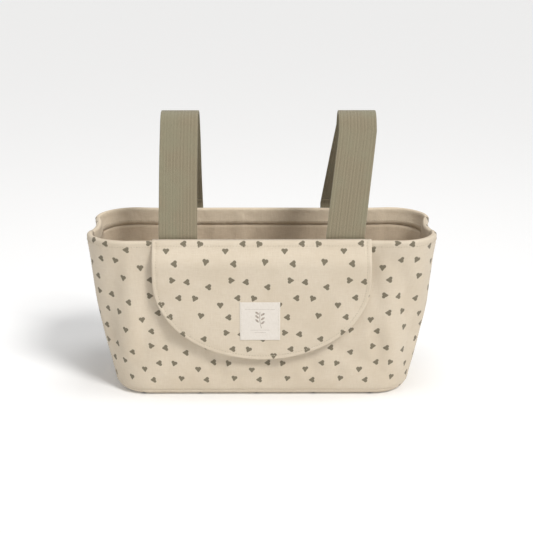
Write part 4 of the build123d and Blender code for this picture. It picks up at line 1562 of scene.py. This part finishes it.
def nap_tree():
    """Scatters small standing arcs of yarn over a surface: closed ones are loops, cut ones are hooks."""
    tree = bpy.data.node_groups.new("tape_nap", "GeometryNodeTree")
    face, keys = tree.interface, {}
    face.new_socket("Surface", in_out="INPUT", socket_type="NodeSocketGeometry")
    for label in ("Spacing", "Radius", "Yarn", "Sweep", "Turn"):
        keys[label] = face.new_socket(label, in_out="INPUT", socket_type="NodeSocketFloat").identifier
    keys["Finish"] = face.new_socket("Finish", in_out="INPUT", socket_type="NodeSocketMaterial").identifier
    face.new_socket("Nap", in_out="OUTPUT", socket_type="NodeSocketGeometry")
    add, link = tree.nodes.new, tree.links.new
    given, made = add("NodeGroupInput"), add("NodeGroupOutput")
    spread_out = add("GeometryNodeDistributePointsOnFaces")
    spread_out.distribute_method = "POISSON"
    link(given.outputs["Surface"], spread_out.inputs["Mesh"])
    link(given.outputs["Spacing"], spread_out.inputs["Distance Min"])
    spread_out.inputs["Density Max"].default_value = 4.0e6
    spread_out.inputs["Seed"].default_value = 5
    arc, ring = add("GeometryNodeCurveArc"), add("GeometryNodeCurvePrimitiveCircle")
    yarn = add("GeometryNodeCurveToMesh")
    arc.inputs["Resolution"].default_value = 7
    ring.inputs["Resolution"].default_value = 4
    link(given.outputs["Radius"], arc.inputs["Radius"])
    link(given.outputs["Sweep"], arc.inputs["Sweep Angle"])
    link(given.outputs["Yarn"], ring.inputs["Radius"])
    link(arc.outputs["Curve"], yarn.inputs["Curve"])
    link(ring.outputs["Curve"], yarn.inputs["Profile Curve"])
    yarn.inputs["Fill Caps"].default_value = True
    stand = add("GeometryNodeTransform")
    stand.inputs["Rotation"].default_value = (math.pi / 2, 0, 0)
    link(yarn.outputs["Mesh"], stand.inputs["Geometry"])
    place, spin = add("GeometryNodeInstanceOnPoints"), add("GeometryNodeRotateInstances")
    random_turn = add("FunctionNodeRandomValue")
    random_turn.data_type = "FLOAT"
    random_turn.inputs[2].default_value = 0.0
    link(given.outputs["Turn"], random_turn.inputs[3])
    random_turn.inputs["Seed"].default_value = 11
    about = add("ShaderNodeCombineXYZ")
    link(random_turn.outputs[1], about.inputs[2])
    link(spread_out.outputs["Points"], place.inputs["Points"])
    link(spread_out.outputs["Rotation"], place.inputs["Rotation"])
    link(stand.outputs["Geometry"], place.inputs["Instance"])
    link(place.outputs["Instances"], spin.inputs["Instances"])
    link(about.outputs[0], spin.inputs["Rotation"])
    real, paint = add("GeometryNodeRealizeInstances"), add("GeometryNodeSetMaterial")
    link(spin.outputs["Instances"], real.inputs["Geometry"])
    link(real.outputs["Geometry"], paint.inputs["Geometry"])
    link(given.outputs["Finish"], paint.inputs["Material"])
    link(paint.outputs["Geometry"], made.inputs["Nap"])
    return tree, keys


nap_rule, nap_keys = nap_tree()


def nap_on(name, grid, spacing, radius, yarn, sweep, turn):
    """Hooks or loops standing on the outer face of a tape."""
    wide, long = grid.shape[:2]
    index = np.arange(wide * long).reshape(wide, long)
    faces = np.stack((index[:-1, :-1], index[1:, :-1], index[1:, 1:], index[:-1, 1:]), 2).reshape(-1, 4)
    piece = make_piece(name, grid.reshape(-1, 3), faces, tape_finish)
    rule = piece.modifiers.new("nap", "NODES")
    rule.node_group = nap_rule
    sizes = {"Spacing": spacing, "Radius": radius, "Yarn": yarn, "Sweep": sweep, "Turn": turn}
    for label, value in sizes.items():
        rule[nap_keys[label]] = value
    rule[nap_keys["Finish"]] = tape_finish
    return make_plain(piece, name)


def tape_steps(size):
    half = size / 2
    inner = np.linspace(-half + 2 * MM, half - 2 * MM, 12)
    return np.concatenate(([-half, -half + 0.3 * MM], inner, [half - 0.3 * MM, half]))


tape_across = tape_steps(TAPE_WIDE)[:, None] * np.ones(16)
tape_up = np.ones((16, 1)) * tape_steps(TAPE_LONG)
tape_gap = np.minimum(TAPE_WIDE / 2 - abs(tape_across), TAPE_LONG / 2 - abs(tape_up))
tape_round = np.sqrt(1 - (1 - np.clip(tape_gap / (0.3 * MM), 0, 1)) ** 2)
TAPE_SEWN_IN = 1.8 * MM
tape_top, tape_side = TAPE_LONG / 2 - TAPE_SEWN_IN, TAPE_WIDE / 2 - TAPE_SEWN_IN
tape_box = box_with_cross(-tape_top, tape_top, tape_side, cross=False)
for side, x in LOOP_X.items():
    middle_z = RIM - TAPE_DROP - TAPE_LONG / 2

    def on_back(across, up, lift):
        """Points on the back wall. Seen from behind, across goes to the left."""
        return np.stack((x - across, back_depth(x - across, middle_z + up) + lift, middle_z + up), -1)

    tape = seal_sheet(
        on_back(tape_across, tape_up, 0.05 * MM + TAPE_BASE * tape_round),
        on_back(tape_across, tape_up, 0.05 * MM),
        np.stack((tape_across, tape_up), 2),
        f"{side}_loop_tape_base",
        tape_finish,
    )
    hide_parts(f"{side}_loop_tape")
    declare_cloth(tape, np.stack((tape_across, tape_up), 2), "laid", "cover_back")
    soft_side = on_back(tape_across[2:-2, 2:-2], tape_up[2:-2, 2:-2], TAPE_BASE)
    loops = nap_on(f"{side}_loop_tape_nap", soft_side, 0.75 * MM, 0.34 * MM, 0.05 * MM, math.pi * 1.1, 6.28)
    along_end = even[-1] - TAIL_LONG + TAPE_DROP + TAPE_LONG / 2

    def under_end(across, down, lift):
        """Points under the webbing's end, which face the wall."""
        spots = np.column_stack((np.ravel(across), along_end + np.ravel(down)))
        return on_webbing(side, spots, -lift).reshape(*np.shape(across), 3)

    hook_base = seal_sheet(
        np.stack([under_end(tape_across[:, k], tape_up[:, k], 0.0) for k in range(16)], 1)
        + np.array((0, -1, 0)) * (TAPE_BASE * tape_round)[..., None],
        np.stack([under_end(tape_across[:, k], tape_up[:, k], 1e-9) for k in range(16)], 1),
        np.stack((tape_across, tape_up), 2),
        f"{side}_hook_tape_base",
        tape_finish,
    )
    weld(hook_base, 0.001 * MM)
    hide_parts(f"{side}_hook_tape")
    declare_cloth(hook_base, np.stack((tape_across, tape_up), 2), "laid", f"{side}_loop_end_webbing")
    hook_side = np.stack([under_end(tape_across[2:-2, k], tape_up[2:-2, k], 0.0) for k in range(2, 14)], 1)
    hook_side = hook_side + np.array((0, -TAPE_BASE, 0))
    hooks = nap_on(f"{side}_hook_tape_nap", hook_side, 1.35 * MM, 0.42 * MM, 0.1 * MM, math.pi * 1.25, 0.5)
    edge_line = [on_back(part[:, 0], part[:, 1], 0.05 * MM + TAPE_BASE) for part in tape_box]
    tape_sewn = stitches_along(f"{side}_loop_tape_stitching", edge_line, olive_thread)
    for piece in (tape, loops, tape_sewn, hook_base, hooks):
        on_end = piece in (hook_base, hooks)
        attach(piece, f"{side}_strap_end" if on_end else "bag")


# ---- Inner pocket -------------------------------------------------------------------------------
# A strip of the lining cotton sewn to the back lining by its sides, its bottom and two lines between,
# which make three cells. Elastic along its top gathers it a little.

POCKET_HALF, CELLS = 117 * MM, 3
INNER_LOW, INNER_HIGH = 30 * MM, 120 * MM
INNER_FACE = 55.2 * MM
INNER_CLOTH = 0.8 * MM
ELASTIC_DEEP, ELASTIC_THICK = 10 * MM, 1.2 * MM
GATHER_PITCH = 6.3 * MM
INNER_FULL = 1.25  # how much wider the pocket is cut than the place it is sewn to

lining_inside = (walls - out_walls * (ripple + LINING_TO)[..., None])[back_columns]
lining_depth = depth_on(lining_inside)


def inner_cloth(x, z, lift):
    """Points on the inner pocket: flat at its seams, full between them, gathered along its top."""
    cell = 2 * POCKET_HALF / CELLS
    share = np.mod((x + POCKET_HALF) / cell, 1.0)
    seam = np.clip(np.minimum(share, 1 - share) * cell / (11 * MM), 0, 1)
    height = np.clip((z - INNER_LOW) / (INNER_HIGH - INNER_LOW), 0, 1)
    full = np.sqrt(1 - (1 - seam) ** 2.2) * np.sqrt(1 - (1 - np.clip(height / 0.3, 0, 1)) ** 2)
    lining_y = lining_depth(x, z)
    room = np.maximum(lining_y - INNER_FACE, 0)
    gathers = np.sin(2 * math.pi * x / GATHER_PITCH + 1.3 * np.sin(x / (17 * MM))) * 0.55 * MM
    gathers = gathers * ease((height - 0.55) / 0.4) * seam
    folds = waves(31, np.stack((x, z), -1), (0.03, 0.05), 1.0) * 0.9 * MM * full
    y = lining_y - 0.15 * MM - room * full * (0.72 + 0.24 * height) + gathers + folds
    return np.stack((x, y - lift, z), -1)


inner_x = np.linspace(-POCKET_HALF, POCKET_HALF, 187)
inner_z = np.linspace(INNER_LOW, INNER_HIGH, 34)
pocket_x, pocket_z = np.meshgrid(inner_x, inner_z, indexing="ij")
inner_uv = np.stack((pocket_x, pocket_z), 2)
inner_pocket = seal_sheet(
    inner_cloth(pocket_x, pocket_z, INNER_CLOTH),
    inner_cloth(pocket_x, pocket_z, 0.0),
    inner_uv,
    "inner_pocket_cloth",
    lining_cotton,
)
stand_for(inner_pocket, "inner_pocket", "bag")
declare_cloth(inner_pocket, inner_uv * (INNER_FULL, 1), "gathered", "back_lining_cloth")


def elastic_knit():
    """Woven elastic: fine cross ribs, a little shine and firmer edges."""
    finish, shader, dye = finish_named("woven_elastic", 0.7, sheen=0.3)
    place = on_cloth(dye)
    ribs = place.math("SINE", place.part("X") * (2 * math.pi / 1.1))
    cords = place.math("SINE", place.part("Y") * (2 * math.pi / 1.6))
    share = ribs * 0.22 + cords * 0.18 + noise(place, 1.2, 3.0).fade(0.3, 0.7) * 0.4 + 0.3
    finish.node_tree.links.new(
        share.blend(linear(186, 170, 146), linear(222, 209, 187)).socket, shader.inputs["Base Color"]
    )
    finish.node_tree.links.new((0.66 + cords * 0.06).socket, shader.inputs["Roughness"])
    raise_surface(shader, ribs * 0.5 + cords * 0.5, 0.00025, 0.9)
    return finish


elastic_finish = elastic_knit()
band_z = np.linspace(INNER_HIGH - ELASTIC_DEEP, INNER_HIGH + 0.4 * MM, 9)
band_x, band_high = np.meshgrid(inner_x, band_z, indexing="ij")
band_edge = np.minimum(band_high - band_z[0], band_z[-1] - band_high)
band_round = np.sqrt(1 - (1 - np.clip(band_edge / (0.9 * MM), 0, 1)) ** 2)
band_lift = INNER_CLOTH + 0.05 * MM + ELASTIC_THICK * band_round * 0.9
band = seal_sheet(
    inner_cloth(band_x, band_high, band_lift),
    inner_cloth(band_x, band_high, INNER_CLOTH + 0.04 * MM),
    np.stack((band_x, band_high), 2),
    "inner_pocket_elastic_band",
    elastic_finish,
)
stand_for(band, "inner_pocket_elastic", "bag")
declare_cloth(band, np.stack((band_x, band_high), 2), "stretched", "inner_pocket_cloth")
upright = np.linspace(INNER_LOW + 2 * MM, INNER_HIGH - 2 * MM, 40)
down_lines = [(-POCKET_HALF + 2 * MM), -POCKET_HALF / 3, POCKET_HALF / 3, POCKET_HALF - 2 * MM]
pocket_lines = [inner_cloth(np.full(40, at), upright, INNER_CLOTH + 0.1 * MM) for at in down_lines]
pocket_lines.append(inner_cloth(inner_x[2:-2], np.full(183, INNER_LOW + 2 * MM), INNER_CLOTH + 0.1 * MM))
pocket_lines += [
    inner_cloth(inner_x[1:-1], np.full(185, level), INNER_CLOTH + ELASTIC_THICK) for level in band_z[[2, 6]]
]
sew("inner_pocket_stitching", pocket_lines, "bag", slot="lining_cloth")


# ---- Bottle loop --------------------------------------------------------------------------------
# A wide elastic band that stands out from the left end wall, both its ends sewn to the lining. It
# keeps a bottle upright.

BOTTLE_RADIUS, BOTTLE_LOW, BOTTLE_HIGH = 35.3 * MM, 88 * MM, 118 * MM

turn = np.linspace(-math.radians(96), math.radians(96), 97)
loop_z = np.linspace(BOTTLE_LOW, BOTTLE_HIGH, 15)
loop_turn, loop_high = np.meshgrid(turn, loop_z, indexing="ij")
wall_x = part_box("bottle_loop")[0].x
centre_x = wall_x + BOTTLE_RADIUS / 2 + 1.2 * MM
slack = 1 + 0.03 * np.sin(2 * loop_turn + 0.6) * ease((loop_high - BOTTLE_LOW) / (30 * MM))
lip = np.minimum(loop_high - BOTTLE_LOW, BOTTLE_HIGH - loop_high)
half_band = 0.6 * MM * np.sqrt(1 - (1 - np.clip(lip / (1 * MM), 0, 1)) ** 2)
from_middle = abs(loop_high - (BOTTLE_LOW + BOTTLE_HIGH) / 2)
wave_edge = 0.5 * MM * np.sin(loop_turn * 9) * (from_middle / (15 * MM)) ** 2


def on_bottle_loop(lift):
    radius = BOTTLE_RADIUS * slack + wave_edge + lift
    return np.stack(
        (centre_x + radius * np.cos(loop_turn), radius * np.sin(loop_turn), loop_high), 2
    )


loop_uv = np.stack((loop_turn * BOTTLE_RADIUS, loop_high), 2)
bottle_loop = seal_sheet(
    on_bottle_loop(half_band), on_bottle_loop(-half_band), loop_uv, "bottle_loop_band", elastic_finish
)
stand_for(bottle_loop, "bottle_loop", "bag")
declare_cloth(bottle_loop, loop_uv, "hung", "left_lining_cloth")


# ---- Studio -------------------------------------------------------------------------------------
# A pale floor, a soft sun from the front right, a weaker light from the left and one over the open
# top, which shows the inside.

bpy.ops.mesh.primitive_plane_add(size=12, location=(0, 2.0, 0))
floor = bpy.context.object
floor.name = "floor"
pale = bpy.data.materials.new("pale_floor")
pale.use_nodes = True
pale_shader = pale.node_tree.nodes["Principled BSDF"].inputs
pale_shader["Base Color"].default_value = (0.96, 0.96, 0.96, 1)
pale_shader["Roughness"].default_value = 0.8
pale_shader["Emission Color"].default_value = (1, 1, 1, 1)
pale_shader["Emission Strength"].default_value = 0.06
floor.data.materials.append(pale)


def soft_box(name, place, aim, size, power, warmth=(1, 1, 1)):
    light = bpy.data.lights.new(name, "AREA")
    light.shape, light.size, light.energy, light.color = "DISK", size, power, warmth
    lamp = bpy.data.objects.new(name, light)
    lamp.location = place
    lamp.rotation_euler = (Vector(aim) - Vector(place)).to_track_quat("-Z", "Y").to_euler()
    bpy.context.scene.collection.objects.link(lamp)


sun = bpy.data.lights.new("key", "SUN")
sun.energy, sun.angle, sun.color = 2.0, math.radians(16), (1, 0.99, 0.975)
lamp = bpy.data.objects.new("key", sun)
lamp.rotation_euler = Vector((-0.75, 1.0, -1.25)).to_track_quat("-Z", "Y").to_euler()
bpy.context.scene.collection.objects.link(lamp)
soft_box("fill", (-1.3, -1.2, 0.8), (0, 0, 0.12), 1.0, 1.5)
soft_box("inside", (0.1, -0.1, 1.3), (0, 0.02, 0.1), 0.5, 4)
world = bpy.data.worlds.new("studio")
world.use_nodes = True
world.node_tree.nodes["Background"].inputs["Color"].default_value = (1, 1, 1, 1)
world.node_tree.nodes["Background"].inputs["Strength"].default_value = 0.4
bpy.context.scene.world = world
bpy.context.scene.view_settings.view_transform = "Standard"

AIM = Vector((0.005, -0.03, 0.135))
FRONT = Vector((0.0, -0.078, 0.10))
DISTANCE, ELEVATION = 1.3, math.radians(18.5)
eye = FRONT + Vector((0, -math.cos(ELEVATION), math.sin(ELEVATION))) * DISTANCE
camera = bpy.data.objects.new("camera", bpy.data.cameras.new("camera"))
camera.location = eye
camera.rotation_euler = (AIM - eye).to_track_quat("-Z", "Y").to_euler()
camera.data.lens = 84
bpy.context.scene.collection.objects.link(camera)
bpy.context.scene.camera = camera
